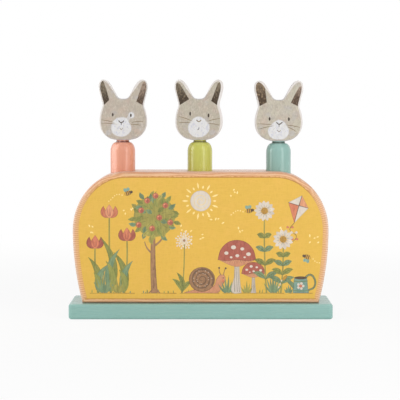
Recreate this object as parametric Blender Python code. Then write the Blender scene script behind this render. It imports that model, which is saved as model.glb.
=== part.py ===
"""A wooden pop-up toy: three rabbit figures stand on coil springs in a printed block on a base plate.

Pressing a head pushes its peg down into the block, and the spring lifts it again. Each figure also
turns freely, because nothing keys a round peg in a round hole. Metres, +Z up, X along the block, the
printed front facing -Y, and the origin under the middle of the base plate.
"""

import math

import bmesh
import bpy
from mathutils import Matrix, Vector
from mathutils.geometry import interpolate_bezier

# Clearances that several pieces share
CONTACT_GAP = 0.0003
CUT_OVERRUN = 0.002
# Points nearer than this share of the contact gap are one point
MERGE_SHARE = 0.005

# Pegs: how far they stand out of the block, with the right one let in a little deeper
PEG_DIAMETER = 0.0228
PEG_STAND = 0.028
RIGHT_PEG_DROP = 0.001
PEG_COLLAR_DIAMETER = 0.0116
PEG_COLLAR_HEIGHT = 0.0017
PEG_COLLAR_STEP = 0.0006
PEG_SHOULDER_HEIGHT = 0.0084
PEG_FOOT_CHAMFER = 0.0008

# Holes for the figures: a narrow guide at the top, and a wider bore below it for the foot. The
# middle one is drilled a little left of the block's middle.
FIGURE_PITCH = 0.0718
MIDDLE_HOLE_SHIFT = -0.0007
GUIDE_DEPTH = 0.035
GUIDE_CLEARANCE = 0.0005
BORE_CLEARANCE = 0.0005
HOLE_RIM_CHAMFER = 0.0006

# Foot disc, wider than the guide all round, so that it keeps its peg in the block
FOOT_LEDGE = 0.0022
FOOT_THICKNESS = 0.006
FOOT_CHAMFER = 0.0006

# Block, seen from the front: a flat top, rounded shoulders and sides that draw in towards the foot
BLOCK_HEIGHT = 0.1195
BLOCK_END_SPACE = 0.0446
BLOCK_SHOULDER_WIDTH = 0.0484
BLOCK_SHOULDER_HEIGHT = 0.0535
BLOCK_SIDE_DRAW_IN = 0.0086
BORE_WALL = 0.0066
PANEL_THICKNESS = 0.006
PANEL_EDGE_ROUND = 0.0018

# Base plate, with how far it reaches past the block's foot
BASE_END_LEDGE = 0.0122
BASE_SIDE_LEDGE = 0.008
BASE_THICKNESS = 0.014
BASE_CORNER_RADIUS = 0.0035
BASE_EDGE_ROUND = 0.0022

# Springs, and the recesses in the base plate that hold their lower ends
SPRING_BORE_CLEARANCE = 0.003
SPRING_WIRE = 0.001
SPRING_TURNS = 10
SPRING_END_TURNS = 1
SPRING_END_GAP = 0.0006
SPRING_RECESS_DEPTH = 0.0025
SPRING_RECESS_CLEARANCE = 0.0008

# Spring cap that each figure turns on
CAP_BORE_CLEARANCE = 0.0009
CAP_FLANGE = 0.002
CAP_SPIGOT_LENGTH = 0.005
CAP_SPIGOT_CLEARANCE = 0.0013
CAP_SCREW_CLEARANCE = 0.0005
CAP_CHAMFER = 0.0005

# Rabbit heads, sawn from board. Two are glued on a little beside their peg's axis.
LEFT_HEAD_SHIFT = 0.0005
MIDDLE_HEAD_SHIFT = -0.0008
HEAD_WIDTH = 0.0448
HEAD_HEIGHT = 0.0555
HEAD_THICKNESS = 0.012
HEAD_EDGE_ROUND = 0.0012
# Half of a head's outline from the end of the flat under the chin to the middle of the crown,
# in shares of half its width and of its height
HEAD_OUTLINE_SHARES = (
    (0.25, 0.000),
    (0.55, 0.030),
    (0.795, 0.105),
    (0.945, 0.215),
    (0.97, 0.350),
    (0.915, 0.475),
    (0.845, 0.578),
    (0.91, 0.700),
    (0.995, 0.850),
    (0.965, 0.955),
    (0.82, 1.000),
    (0.64, 0.975),
    (0.48, 0.895),
    (0.325, 0.780),
    (0.195, 0.700),
    (0.00, 0.684),
)

# Dowels: one in each neck, and two between the block and the base plate
NECK_DOWEL_DIAMETER = 0.006
NECK_DOWEL_LENGTH = 0.020
BLOCK_DOWEL_DIAMETER = 0.008
BLOCK_DOWEL_LENGTH = 0.016
DOWEL_CHAMFER = 0.0007

# Countersunk wood screws with a cross recess, whose other sizes are shares of their diameter
BASE_SCREW_DIAMETER = 0.004
BASE_SCREW_LENGTH = 0.035
BASE_SCREW_EDGE_DISTANCE = 0.0097
FOOT_SCREW_DIAMETER = 0.0035
FOOT_SCREW_LENGTH = 0.020
SCREW_CLEARANCE = 0.0003
SCREW_SINK = 0.0004
SCREW_HEAD_DIAMETER_SHARE = 2.0
SCREW_HEAD_HEIGHT_SHARE = 0.6
SCREW_TIP_SHARE = 1.2
RECESS_LENGTH_SHARE = 1.1
RECESS_WIDTH_SHARE = 0.28
RECESS_DEPTH_SHARE = 0.4

# How finely round shapes are drawn, in segments
BORE_SEGMENTS = 28
PEG_SEGMENTS = 28
CAP_SEGMENTS = 24
SCREW_SEGMENTS = 12
DOWEL_SEGMENTS = 12
SHOULDER_SEGMENTS = 14
SIDE_SEGMENTS = 6
CORNER_SEGMENTS = 4
PEG_SHOULDER_SEGMENTS = 5
HEAD_CURVE_STEPS = 3
SPRING_POINTS_PER_TURN = 8

# Sizes across the block and the base plate
GUIDE_RADIUS = PEG_DIAMETER / 2 + GUIDE_CLEARANCE
FOOT_RADIUS = PEG_DIAMETER / 2 + FOOT_LEDGE
BORE_RADIUS = FOOT_RADIUS + BORE_CLEARANCE
CORE_DEPTH = 2 * (BORE_RADIUS + BORE_WALL)
BLOCK_DEPTH = CORE_DEPTH + 2 * (PANEL_THICKNESS + CONTACT_GAP)
BLOCK_HALF_WIDTH = FIGURE_PITCH + BLOCK_END_SPACE
BLOCK_FOOT_HALF_WIDTH = BLOCK_HALF_WIDTH - BLOCK_SIDE_DRAW_IN
BASE_LENGTH = 2 * (BLOCK_FOOT_HALF_WIDTH + BASE_END_LEDGE)
BASE_DEPTH = BLOCK_DEPTH + 2 * BASE_SIDE_LEDGE
SPRING_RADIUS = BORE_RADIUS - SPRING_BORE_CLEARANCE
CAP_RADIUS = BORE_RADIUS - CAP_BORE_CLEARANCE

# Heights above the underside of the base plate
BLOCK_BOTTOM = BASE_THICKNESS + CONTACT_GAP
BLOCK_TOP = BLOCK_BOTTOM + BLOCK_HEIGHT
PEG_BOTTOM = BLOCK_TOP - GUIDE_DEPTH
FOOT_TOP = PEG_BOTTOM - CONTACT_GAP
FOOT_BOTTOM = FOOT_TOP - FOOT_THICKNESS
CAP_TOP = FOOT_BOTTOM - CONTACT_GAP
SPRING_TOP = CAP_TOP - CAP_FLANGE - CONTACT_GAP
SPRING_FLOOR = BASE_THICKNESS - SPRING_RECESS_DEPTH
SPRING_BOTTOM = SPRING_FLOOR + CONTACT_GAP

# Places of what repeats: the screws stand midway between the outer bores and the block's ends
FIGURE_PLACES = {"left": -FIGURE_PITCH, "middle": MIDDLE_HOLE_SHIFT, "right": FIGURE_PITCH}
HEAD_SHIFTS = {"left": LEFT_HEAD_SHIFT, "middle": MIDDLE_HEAD_SHIFT, "right": 0}
BLOCK_DOWEL_X = FIGURE_PITCH / 2
BASE_SCREW_X = (FIGURE_PITCH + BORE_RADIUS + BLOCK_FOOT_HALF_WIDTH) / 2
BASE_SCREW_Y = CORE_DEPTH / 2 - BASE_SCREW_EDGE_DISTANCE
UPRIGHT = (math.pi / 2, 0, 0)
UPSIDE_DOWN = (math.pi, 0, 0)


class Screw:
    """The sizes of a countersunk screw, worked out from its diameter and length."""

    def __init__(self, diameter, length):
        self.shank = diameter / 2
        self.length = length
        self.head = self.shank * SCREW_HEAD_DIAMETER_SHARE
        self.head_height = diameter * SCREW_HEAD_HEIGHT_SHARE
        self.tip = diameter * SCREW_TIP_SHARE
        self.recess_reach = diameter * RECESS_LENGTH_SHARE / 2
        self.recess_half_width = diameter * RECESS_WIDTH_SHARE / 2
        self.recess_depth = diameter * RECESS_DEPTH_SHARE


BASE_SCREW = Screw(BASE_SCREW_DIAMETER, BASE_SCREW_LENGTH)
FOOT_SCREW = Screw(FOOT_SCREW_DIAMETER, FOOT_SCREW_LENGTH)


def srgb(red, green, blue):
    """A colour given as 0 to 255 in sRGB, as linear RGBA."""
    linear = []
    for value in (red, green, blue):
        share = value / 255
        linear.append(share / 12.92 if share <= 0.04045 else ((share + 0.055) / 1.055) ** 2.4)
    return (*linear, 1)


def material(name, colour, roughness, metallic=0):
    made = bpy.data.materials.new(name)
    made.use_nodes = True
    shader = made.node_tree.nodes["Principled BSDF"]
    shader.inputs["Base Color"].default_value = colour
    shader.inputs["Roughness"].default_value = roughness
    shader.inputs["Metallic"].default_value = metallic
    made.diffuse_color = colour
    return made


def clear_scene():
    for item in list(bpy.data.objects):
        bpy.data.objects.remove(item)


def add_empty(name, location, parent=None):
    item = bpy.data.objects.new(name, None)
    item.location = location
    item.parent = parent
    bpy.context.scene.collection.objects.link(item)
    return item


def add_piece(name, data, finish, parent=None, location=(0, 0, 0), rotation=(0, 0, 0)):
    """Links an object that shows the given mesh or curve, placed in its parent's frame."""
    item = bpy.data.objects.new(name, data)
    item.location = location
    item.rotation_euler = rotation
    item.parent = parent
    if finish:
        data.materials.clear()
        data.materials.append(finish)
    bpy.context.scene.collection.objects.link(item)
    return item


def finish_mesh(bm, name, sharp_angle=math.radians(35)):
    """Turns a bmesh into a mesh with its faces pointing out and its round stretches shaded smooth."""
    bmesh.ops.recalc_face_normals(bm, faces=bm.faces)
    mesh = bpy.data.meshes.new(name)
    bm.to_mesh(mesh)
    bm.free()
    mesh.shade_smooth()
    mesh.set_sharp_from_angle(angle=sharp_angle)
    return mesh


def turned(name, profile, segments, closed=False):
    """A solid turned about Z from (radius, height) points.

    An open profile starts and ends on the axis. A closed one never touches it, and gives a ring.
    """
    bm = bmesh.new()
    verts = [bm.verts.new((radius, 0, height)) for radius, height in profile]
    ends = verts[1:] + verts[:1] if closed else verts[1:]
    edges = [bm.edges.new(pair) for pair in zip(verts, ends)]
    bmesh.ops.spin(
        bm,
        geom=verts + edges,
        cent=(0, 0, 0),
        axis=(0, 0, 1),
        angle=2 * math.pi,
        steps=segments,
        use_merge=True,
    )
    bmesh.ops.remove_doubles(bm, verts=bm.verts, dist=MERGE_SHARE * CONTACT_GAP)
    return finish_mesh(bm, name)


def round_over(bm, height, radius, segments):
    """Rounds over the rim of a board's face that lies at the given height."""
    rim = [
        edge
        for edge in bm.edges
        if all(abs(vert.co.z - height) < MERGE_SHARE * CONTACT_GAP for vert in edge.verts)
    ]
    bmesh.ops.bevel(
        bm, geom=rim, offset=radius, segments=segments, profile=0.5, affect="EDGES"
    )


def board(name, outline, thickness, round_front=0, round_back=0, round_segments=2):
    """A board sawn to an outline in local XY, from local Z 0 up to its thickness.

    Its front rim, at the full thickness, and its back rim can each be rounded over.
    """
    bm = bmesh.new()
    face = bm.faces.new([bm.verts.new((x, y, 0)) for x, y in outline])
    grown = bmesh.ops.extrude_face_region(bm, geom=[face])["geom"]
    front = [item for item in grown if isinstance(item, bmesh.types.BMVert)]
    bmesh.ops.translate(bm, verts=front, vec=(0, 0, thickness))
    if round_front:
        round_over(bm, thickness, round_front, round_segments)
    if round_back:
        round_over(bm, 0, round_back, round_segments)
    return finish_mesh(bm, name)


def cutter(name, mesh, location=(0, 0, 0), rotation=(0, 0, 0)):
    item = add_piece(name, mesh, None, location=location, rotation=rotation)
    item.hide_render = True
    item.display_type = "WIRE"
    return item


def cut(target, tools):
    """Takes all the tools' shapes out of the target with one Boolean."""
    group = bpy.data.collections.new(target.name + " cutters")
    for tool in tools:
        group.objects.link(tool)
    step = target.modifiers.new("cut", "BOOLEAN")
    step.operation = "DIFFERENCE"
    step.solver = "EXACT"
    step.operand_type = "COLLECTION"
    step.collection = group


def arc(centre_x, centre_y, radius_x, radius_y, start, end, segments):
    """Points on an elliptical arc, both ends included."""
    angles = [start + (end - start) * step / segments for step in range(segments + 1)]
    return [
        (centre_x + radius_x * math.cos(angle), centre_y + radius_y * math.sin(angle))
        for angle in angles
    ]


def mirrored(points):
    """The points, then their mirror images in reverse, leaving out those on the middle line."""
    return points + [(-x, y) for x, y in reversed(points) if x > 0]


def block_outline():
    """The block from the front, anticlockwise, with its foot at height 0."""
    side_height = BLOCK_HEIGHT - BLOCK_SHOULDER_HEIGHT
    side_radius = (side_height**2 + BLOCK_SIDE_DRAW_IN**2) / (2 * BLOCK_SIDE_DRAW_IN)
    side = arc(
        BLOCK_HALF_WIDTH - side_radius,
        side_height,
        side_radius,
        side_radius,
        -math.asin(side_height / side_radius),
        0,
        SIDE_SEGMENTS,
    )
    shoulder = arc(
        BLOCK_HALF_WIDTH - BLOCK_SHOULDER_WIDTH,
        side_height,
        BLOCK_SHOULDER_WIDTH,
        BLOCK_SHOULDER_HEIGHT,
        0,
        math.pi / 2,
        SHOULDER_SEGMENTS,
    )
    return mirrored(side + shoulder[1:])


def base_outline():
    """The base plate from above, a rectangle with rounded corners."""
    corner_x = BASE_LENGTH / 2 - BASE_CORNER_RADIUS
    corner_y = BASE_DEPTH / 2 - BASE_CORNER_RADIUS
    places = ((1, 1, 0), (-1, 1, 1), (-1, -1, 2), (1, -1, 3))
    outline = []
    for side_x, side_y, quarter in places:
        start = quarter * math.pi / 2
        outline += arc(
            side_x * corner_x,
            side_y * corner_y,
            BASE_CORNER_RADIUS,
            BASE_CORNER_RADIUS,
            start,
            start + math.pi / 2,
            CORNER_SEGMENTS,
        )
    return outline


def head_outline():
    """A rabbit's head with two ears, anticlockwise from the right end of the flat under its chin."""
    half = [
        (share_x * HEAD_WIDTH / 2, share_y * HEAD_HEIGHT) for share_x, share_y in HEAD_OUTLINE_SHARES
    ]
    knots = [Vector(point) for point in mirrored(half)]
    ends = [knots[0]] + knots + [knots[-1]]
    outline = []
    for before, start, end, after in zip(ends, ends[1:], ends[2:], ends[3:]):
        handle_start = start + (end - before) / 6
        handle_end = end - (after - start) / 6
        curve = interpolate_bezier(start, handle_start, handle_end, end, HEAD_CURVE_STEPS + 1)
        outline += [tuple(point[:2]) for point in curve[:-1]]
    return outline + [tuple(knots[-1])]


def screw_profile(screw):
    """A countersunk screw from its head, at height 0, down to its point."""
    return (
        (0, 0),
        (screw.head, 0),
        (screw.shank, -screw.head_height),
        (screw.shank, screw.tip - screw.length),
        (0, -screw.length),
    )


def screw_hole_profile(screw, through):
    """The clearance hole and countersink for a screw, from the face at height 0 down past the piece."""
    shank = screw.shank + SCREW_CLEARANCE
    mouth = screw.head + SCREW_CLEARANCE
    return (
        (0, CUT_OVERRUN),
        (mouth, CUT_OVERRUN),
        (mouth, -SCREW_SINK),
        (shank, -SCREW_SINK - screw.head_height),
        (shank, -through - CUT_OVERRUN),
        (0, -through - CUT_OVERRUN),
    )


def blind_hole_profile(radius, depth):
    """A blind hole for a shaft of the given radius that reaches a depth below height 0."""
    wall = radius + CONTACT_GAP
    floor = -depth - CONTACT_GAP
    return ((0, CUT_OVERRUN), (wall, CUT_OVERRUN), (wall, floor), (0, floor))


def cross_outline(reach, half_width):
    """A cross of two equal bars, for a screw's recess."""
    arm = [(reach, -half_width), (reach, half_width), (half_width, half_width)]
    outline = []
    for quarter in range(4):
        turn = Matrix.Rotation(quarter * math.pi / 2, 2)
        outline += [tuple(turn @ Vector(point)) for point in arm]
    return outline


def base_screw_places():
    """Each base screw's name, with its x and y."""
    return {
        f"base_screw_{side}_{end}": (side_sign * BASE_SCREW_X, end_sign * BASE_SCREW_Y)
        for side, side_sign in (("left", -1), ("right", 1))
        for end, end_sign in (("front", -1), ("back", 1))
    }


def block_dowel_places():
    """Each block dowel's name, with its x."""
    return {"block_dowel_left": -BLOCK_DOWEL_X, "block_dowel_right": BLOCK_DOWEL_X}


def make_screw(name, screw, finish, parent, location):
    """A screw driven upwards, its head facing down, with a cross recess."""
    body = turned(name, screw_profile(screw), SCREW_SEGMENTS)
    piece = add_piece(name, body, finish, parent, location, UPSIDE_DOWN)
    bars = board(
        name + " recess",
        cross_outline(screw.recess_reach, screw.recess_half_width),
        screw.recess_depth + CUT_OVERRUN,
    )
    tool = cutter(name + " recess", bars, (0, 0, -screw.recess_depth))
    tool.parent = piece
    cut(piece, [tool])


def make_dowel(name, size, finish, parent, middle):
    """An upright dowel of a given diameter and length, centred on a point."""
    diameter, length = size
    radius = diameter / 2
    profile = (
        (0, -length / 2),
        (radius - DOWEL_CHAMFER, -length / 2),
        (radius, DOWEL_CHAMFER - length / 2),
        (radius, length / 2 - DOWEL_CHAMFER),
        (radius - DOWEL_CHAMFER, length / 2),
        (0, length / 2),
    )
    add_piece(name, turned(name, profile, DOWEL_SEGMENTS), finish, parent, middle)


def dowel_socket(diameter, length):
    """The cutter for a hole that takes half of a dowel, opening upwards at height 0."""
    return turned("dowel socket", blind_hole_profile(diameter / 2, length / 2), DOWEL_SEGMENTS)


def make_base_plate(finish):
    """The base plate, with spring recesses and dowel holes above and countersunk holes below."""
    plate = add_piece(
        "base_plate",
        board("base_plate", base_outline(), BASE_THICKNESS, BASE_EDGE_ROUND, BASE_EDGE_ROUND),
        finish,
    )
    recess_radius = SPRING_RADIUS + SPRING_RECESS_CLEARANCE
    recess = (
        (0, SPRING_FLOOR),
        (recess_radius, SPRING_FLOOR),
        (recess_radius, BASE_THICKNESS + CUT_OVERRUN),
        (0, BASE_THICKNESS + CUT_OVERRUN),
    )
    recess_mesh = turned("spring recess", recess, BORE_SEGMENTS)
    tools = [
        cutter("recess " + side, recess_mesh, (x, 0, 0)) for side, x in FIGURE_PLACES.items()
    ]
    hole_mesh = turned(
        "screw hole", screw_hole_profile(BASE_SCREW, BASE_THICKNESS), SCREW_SEGMENTS
    )
    tools += [
        cutter("hole " + name, hole_mesh, (x, y, 0), UPSIDE_DOWN)
        for name, (x, y) in base_screw_places().items()
    ]
    socket = dowel_socket(BLOCK_DOWEL_DIAMETER, BLOCK_DOWEL_LENGTH)
    tools += [
        cutter("lower socket " + name, socket, (x, 0, BASE_THICKNESS))
        for name, x in block_dowel_places().items()
    ]
    cut(plate, tools)


def make_block_core(finish):
    """The block's solid middle, bored from below for the springs and from above for the pegs."""
    core = add_piece(
        "block_core",
        board("block_core", block_outline(), CORE_DEPTH),
        finish,
        location=(0, CORE_DEPTH / 2, BLOCK_BOTTOM),
        rotation=UPRIGHT,
    )
    hole = (
        (0, BLOCK_BOTTOM - CUT_OVERRUN),
        (BORE_RADIUS, BLOCK_BOTTOM - CUT_OVERRUN),
        (BORE_RADIUS, PEG_BOTTOM),
        (GUIDE_RADIUS, PEG_BOTTOM),
        (GUIDE_RADIUS, BLOCK_TOP - HOLE_RIM_CHAMFER),
        (GUIDE_RADIUS + HOLE_RIM_CHAMFER, BLOCK_TOP),
        (GUIDE_RADIUS + HOLE_RIM_CHAMFER, BLOCK_TOP + CUT_OVERRUN),
        (0, BLOCK_TOP + CUT_OVERRUN),
    )
    hole_mesh = turned("figure hole", hole, BORE_SEGMENTS)
    tools = [
        cutter("hole " + side, hole_mesh, (x, 0, 0)) for side, x in FIGURE_PLACES.items()
    ]
    screw_reach = BASE_SCREW.length + SCREW_SINK - BLOCK_BOTTOM
    pilot = turned(
        "screw pilot", blind_hole_profile(BASE_SCREW.shank, screw_reach), SCREW_SEGMENTS
    )
    tools += [
        cutter("pilot " + name, pilot, (x, y, BLOCK_BOTTOM), UPSIDE_DOWN)
        for name, (x, y) in base_screw_places().items()
    ]
    socket = dowel_socket(BLOCK_DOWEL_DIAMETER, BLOCK_DOWEL_LENGTH)
    tools += [
        cutter("upper socket " + name, socket, (x, 0, BLOCK_BOTTOM), UPSIDE_DOWN)
        for name, x in block_dowel_places().items()
    ]
    cut(core, tools)


def make_panels(finish):
    """The two printed faces, glued to the front and back of the core."""
    outline = block_outline()
    for name, facing in (("front_panel", 1), ("back_panel", -1)):
        mesh = board(name, outline, PANEL_THICKNESS, PANEL_EDGE_ROUND, round_segments=3)
        add_piece(
            name,
            mesh,
            finish,
            location=(0, facing * (PANEL_THICKNESS - BLOCK_DEPTH / 2), BLOCK_BOTTOM),
            rotation=(math.pi / 2, 0, 0 if facing > 0 else math.pi),
        )


def make_base_fixings(steel, wood):
    """The screws and dowels that hold the block on the base plate."""
    for name, (x, y) in base_screw_places().items():
        make_screw(name, BASE_SCREW, steel, None, (x, y, SCREW_SINK))
    for name, x in block_dowel_places().items():
        make_dowel(
            name,
            (BLOCK_DOWEL_DIAMETER, BLOCK_DOWEL_LENGTH),
            wood,
            None,
            (x, 0, (BASE_THICKNESS + BLOCK_BOTTOM) / 2),
        )


def spring_height(turn, length):
    """How high the wire's centre has climbed after a number of turns from the bottom."""
    end_pitch = SPRING_WIRE + SPRING_END_GAP
    end_rise = SPRING_END_TURNS * end_pitch
    active_turns = SPRING_TURNS - 2 * SPRING_END_TURNS
    active_pitch = (length - SPRING_WIRE - 2 * end_rise) / active_turns
    if turn <= SPRING_END_TURNS:
        return turn * end_pitch
    if turn >= SPRING_TURNS - SPRING_END_TURNS:
        return length - SPRING_WIRE - (SPRING_TURNS - turn) * end_pitch
    return end_rise + (turn - SPRING_END_TURNS) * active_pitch


def spring_points(length):
    """The line of a compression spring's wire, standing on height 0 at its outside."""
    radius = SPRING_RADIUS - SPRING_WIRE / 2
    points = []
    for step in range(SPRING_TURNS * SPRING_POINTS_PER_TURN + 1):
        turn = step / SPRING_POINTS_PER_TURN
        angle = 2 * math.pi * turn
        height = SPRING_WIRE / 2 + spring_height(turn, length)
        points.append(Vector((radius * math.cos(angle), radius * math.sin(angle), height)))
    return points


def least_coil_gap(points):
    """The least clear distance between stretches of wire that lie more than half a turn apart."""
    apart = SPRING_POINTS_PER_TURN // 2
    return min(
        (point - other).length - SPRING_WIRE
        for number, point in enumerate(points)
        for other in points[number + apart + 1 :]
    )


def make_spring(name, finish, x):
    """A compression spring between its recess in the base plate and the cap above it."""
    points = spring_points(SPRING_TOP - SPRING_BOTTOM)
    print(f"{name}: least gap between turns {least_coil_gap(points):.5f} m")
    curve = bpy.data.curves.new(name, "CURVE")
    curve.dimensions = "3D"
    curve.bevel_depth = SPRING_WIRE / 2
    curve.bevel_resolution = 1
    curve.use_fill_caps = True
    line = curve.splines.new("POLY")
    line.points.add(len(points) - 1)
    for target, point in zip(line.points, points):
        target.co = (*point, 1)
    add_piece(name, curve, finish, location=(x, 0, SPRING_BOTTOM))


def peg_profile(stand):
    """A turned peg from the dowel hole in its collar round to the pilot hole in its foot."""
    top = GUIDE_DEPTH + stand
    radius = PEG_DIAMETER / 2
    collar = PEG_COLLAR_DIAMETER / 2
    dowel = NECK_DOWEL_DIAMETER / 2 + CONTACT_GAP
    dowel_floor = top - NECK_DOWEL_LENGTH / 2 - CONTACT_GAP
    pilot = FOOT_SCREW.shank + SCREW_CLEARANCE
    screw_reach = FOOT_SCREW.length + SCREW_SINK - FOOT_THICKNESS - CONTACT_GAP
    shoulder_start = collar + PEG_COLLAR_STEP
    shoulder_top = top - PEG_COLLAR_HEIGHT
    shoulder = arc(
        shoulder_start,
        shoulder_top - PEG_SHOULDER_HEIGHT,
        radius - shoulder_start,
        PEG_SHOULDER_HEIGHT,
        math.pi / 2,
        0,
        PEG_SHOULDER_SEGMENTS,
    )
    return (
        (0, dowel_floor),
        (dowel, dowel_floor),
        (dowel, top),
        (collar, top),
        (collar, shoulder_top),
        *shoulder,
        (radius, PEG_FOOT_CHAMFER),
        (radius - PEG_FOOT_CHAMFER, 0),
        (pilot, 0),
        (pilot, screw_reach),
        (0, screw_reach + CONTACT_GAP),
    )


def foot_profile():
    """The foot disc, countersunk from below for its screw."""
    shank = FOOT_SCREW.shank + SCREW_CLEARANCE
    mouth = FOOT_SCREW.head + SCREW_CLEARANCE
    return (
        (shank, FOOT_THICKNESS),
        (FOOT_RADIUS - FOOT_CHAMFER, FOOT_THICKNESS),
        (FOOT_RADIUS, FOOT_THICKNESS - FOOT_CHAMFER),
        (FOOT_RADIUS, FOOT_CHAMFER),
        (FOOT_RADIUS - FOOT_CHAMFER, 0),
        (mouth, 0),
        (mouth, SCREW_SINK),
        (shank, SCREW_SINK + FOOT_SCREW.head_height),
    )


def cap_profile():
    """The spring cap: a flange under the foot disc and a spigot that keeps the spring central."""
    spigot = SPRING_RADIUS - SPRING_WIRE - CAP_SPIGOT_CLEARANCE
    hole = FOOT_SCREW.head + CAP_SCREW_CLEARANCE
    bottom = -CAP_FLANGE - CAP_SPIGOT_LENGTH
    return (
        (hole, 0),
        (CAP_RADIUS, 0),
        (CAP_RADIUS, -CAP_FLANGE),
        (spigot, -CAP_FLANGE),
        (spigot, bottom + CAP_CHAMFER),
        (spigot - CAP_CHAMFER, bottom),
        (hole, bottom),
    )


def make_head(name, finish, parent, shift, chin_height):
    """A rabbit's head sawn from board, upright on its neck dowel and shifted a little beside it."""
    mesh = board(name, head_outline(), HEAD_THICKNESS, HEAD_EDGE_ROUND, HEAD_EDGE_ROUND)
    head = add_piece(
        name, mesh, finish, parent, (shift, HEAD_THICKNESS / 2, chin_height), UPRIGHT
    )
    socket = dowel_socket(NECK_DOWEL_DIAMETER, NECK_DOWEL_LENGTH)
    tool = cutter(name + " socket", socket, (0, 0, chin_height), UPSIDE_DOWN)
    tool.parent = parent
    cut(head, [tool])


def make_figure(side, paints):
    """One rabbit: its spring, the cap that slides on the spring, and the pieces that turn on the cap."""
    x = FIGURE_PLACES[side]
    stand = PEG_STAND - RIGHT_PEG_DROP if side == "right" else PEG_STAND
    peg_top = BLOCK_TOP + stand
    chin = peg_top + CONTACT_GAP
    make_spring(side + "_spring", paints["spring_steel"], x)
    slide = add_empty(side + "_press_axis", (x, 0, 0))
    turn = add_empty(side + "_swivel_axis", (0, 0, 0), slide)
    add_piece(
        side + "_spring_cap",
        turned(side + "_spring_cap", cap_profile(), CAP_SEGMENTS, closed=True),
        paints["cap_plastic"],
        slide,
        (0, 0, CAP_TOP),
    )
    add_piece(
        side + "_peg",
        turned(side + "_peg", peg_profile(stand), PEG_SEGMENTS),
        paints[side + "_peg_paint"],
        turn,
        (0, 0, PEG_BOTTOM),
    )
    add_piece(
        side + "_peg_foot",
        turned(side + "_peg_foot", foot_profile(), PEG_SEGMENTS, closed=True),
        paints["bare_wood"],
        turn,
        (0, 0, FOOT_BOTTOM),
    )
    make_screw(
        side + "_foot_screw",
        FOOT_SCREW,
        paints["screw_steel"],
        turn,
        (0, 0, FOOT_BOTTOM + SCREW_SINK),
    )
    make_dowel(
        side + "_neck_dowel",
        (NECK_DOWEL_DIAMETER, NECK_DOWEL_LENGTH),
        paints["bare_wood"],
        turn,
        (0, 0, (peg_top + chin) / 2),
    )
    make_head(side + "_head", paints["head_print"], turn, HEAD_SHIFTS[side], chin)


def make_materials():
    looks = {
        "base_paint": ((146, 186, 178), 0.5, 0),
        "block_paint": ((232, 184, 150), 0.5, 0),
        "face_print": ((231, 187, 84), 0.6, 0),
        "left_peg_paint": ((228, 158, 130), 0.3, 0),
        "middle_peg_paint": ((198, 197, 92), 0.3, 0),
        "right_peg_paint": ((147, 184, 174), 0.3, 0),
        "head_print": ((197, 186, 170), 0.6, 0),
        "bare_wood": ((214, 184, 140), 0.7, 0),
        "cap_plastic": ((225, 224, 218), 0.45, 0),
        "spring_steel": ((150, 150, 152), 0.3, 1),
        "screw_steel": ((176, 172, 160), 0.35, 1),
    }
    return {
        name: material(name, srgb(*colour), roughness, metallic)
        for name, (colour, roughness, metallic) in looks.items()
    }


def main():
    clear_scene()
    paints = make_materials()
    make_base_plate(paints["base_paint"])
    make_block_core(paints["block_paint"])
    make_panels(paints["face_print"])
    make_base_fixings(paints["screw_steel"], paints["bare_wood"])
    for side in FIGURE_PLACES:
        make_figure(side, paints)


main()
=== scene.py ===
"""The looks of a wooden pop-up toy: three rabbits on pegs in a printed block on a painted base.

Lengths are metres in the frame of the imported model: X along the block, the printed front facing -Y
and +Z up. Pictures are laid out in millimetres. Each piece takes its place from its solid.
"""

import math
import random

import bmesh
import bpy
from mathutils import Matrix, Vector
from mathutils.geometry import delaunay_2d_cdt, interpolate_bezier


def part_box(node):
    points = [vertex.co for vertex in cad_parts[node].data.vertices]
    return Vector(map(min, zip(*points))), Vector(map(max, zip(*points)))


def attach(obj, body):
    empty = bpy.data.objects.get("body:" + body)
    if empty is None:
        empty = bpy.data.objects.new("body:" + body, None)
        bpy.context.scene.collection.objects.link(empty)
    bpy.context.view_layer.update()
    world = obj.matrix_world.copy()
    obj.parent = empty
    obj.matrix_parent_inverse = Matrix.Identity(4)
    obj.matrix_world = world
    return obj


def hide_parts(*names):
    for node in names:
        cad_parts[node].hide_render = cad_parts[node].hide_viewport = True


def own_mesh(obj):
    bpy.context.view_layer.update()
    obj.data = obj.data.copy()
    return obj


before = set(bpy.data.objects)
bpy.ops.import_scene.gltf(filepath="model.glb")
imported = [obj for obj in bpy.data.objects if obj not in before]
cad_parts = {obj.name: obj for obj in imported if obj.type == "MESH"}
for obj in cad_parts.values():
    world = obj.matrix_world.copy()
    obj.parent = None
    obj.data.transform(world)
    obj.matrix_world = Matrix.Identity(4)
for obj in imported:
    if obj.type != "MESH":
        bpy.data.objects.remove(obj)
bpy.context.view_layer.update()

MM = 0.001

# Camera of the photograph
CAMERA_PLACE = (-0.0006, -1.481, 0.194)
CAMERA_TILT = math.radians(-3.378)
CAMERA_LENS = 144.4
SENSOR_WIDTH = 36

# Studio: an even light all round, and soft boxes given by place, size, power, whether they light matt
# surfaces and whether gloss shows them
WORLD_LEVEL = 0.5
LAMP_TARGET = (0, 0, 0.11)
LAMPS = (
    ("left box", (-0.55, -0.14, 0.2), (0.3, 0.5), 0.45, True, True),
    ("end box", (-1.8, 0.0, 0.16), (0.3, 0.3), 9.0, True, False),
    ("end card", (-0.152, -0.014, 0.182), (0.1, 0.12), 0.106, False, True),
    ("right box", (0.75, -1.0, 0.5), (0.45, 1.1), 4.8, True, True),
    ("right fill", (0.7, -0.3, 0.25), (0.4, 0.5), 0.65, True, False),
    ("front box", (0.0, -1.6, 0.7), (1.0, 0.8), 4.3, True, False),
    ("top box", (0, 0.1, 1.5), (1.2, 0.8), 3.0, True, True),
)
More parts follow.
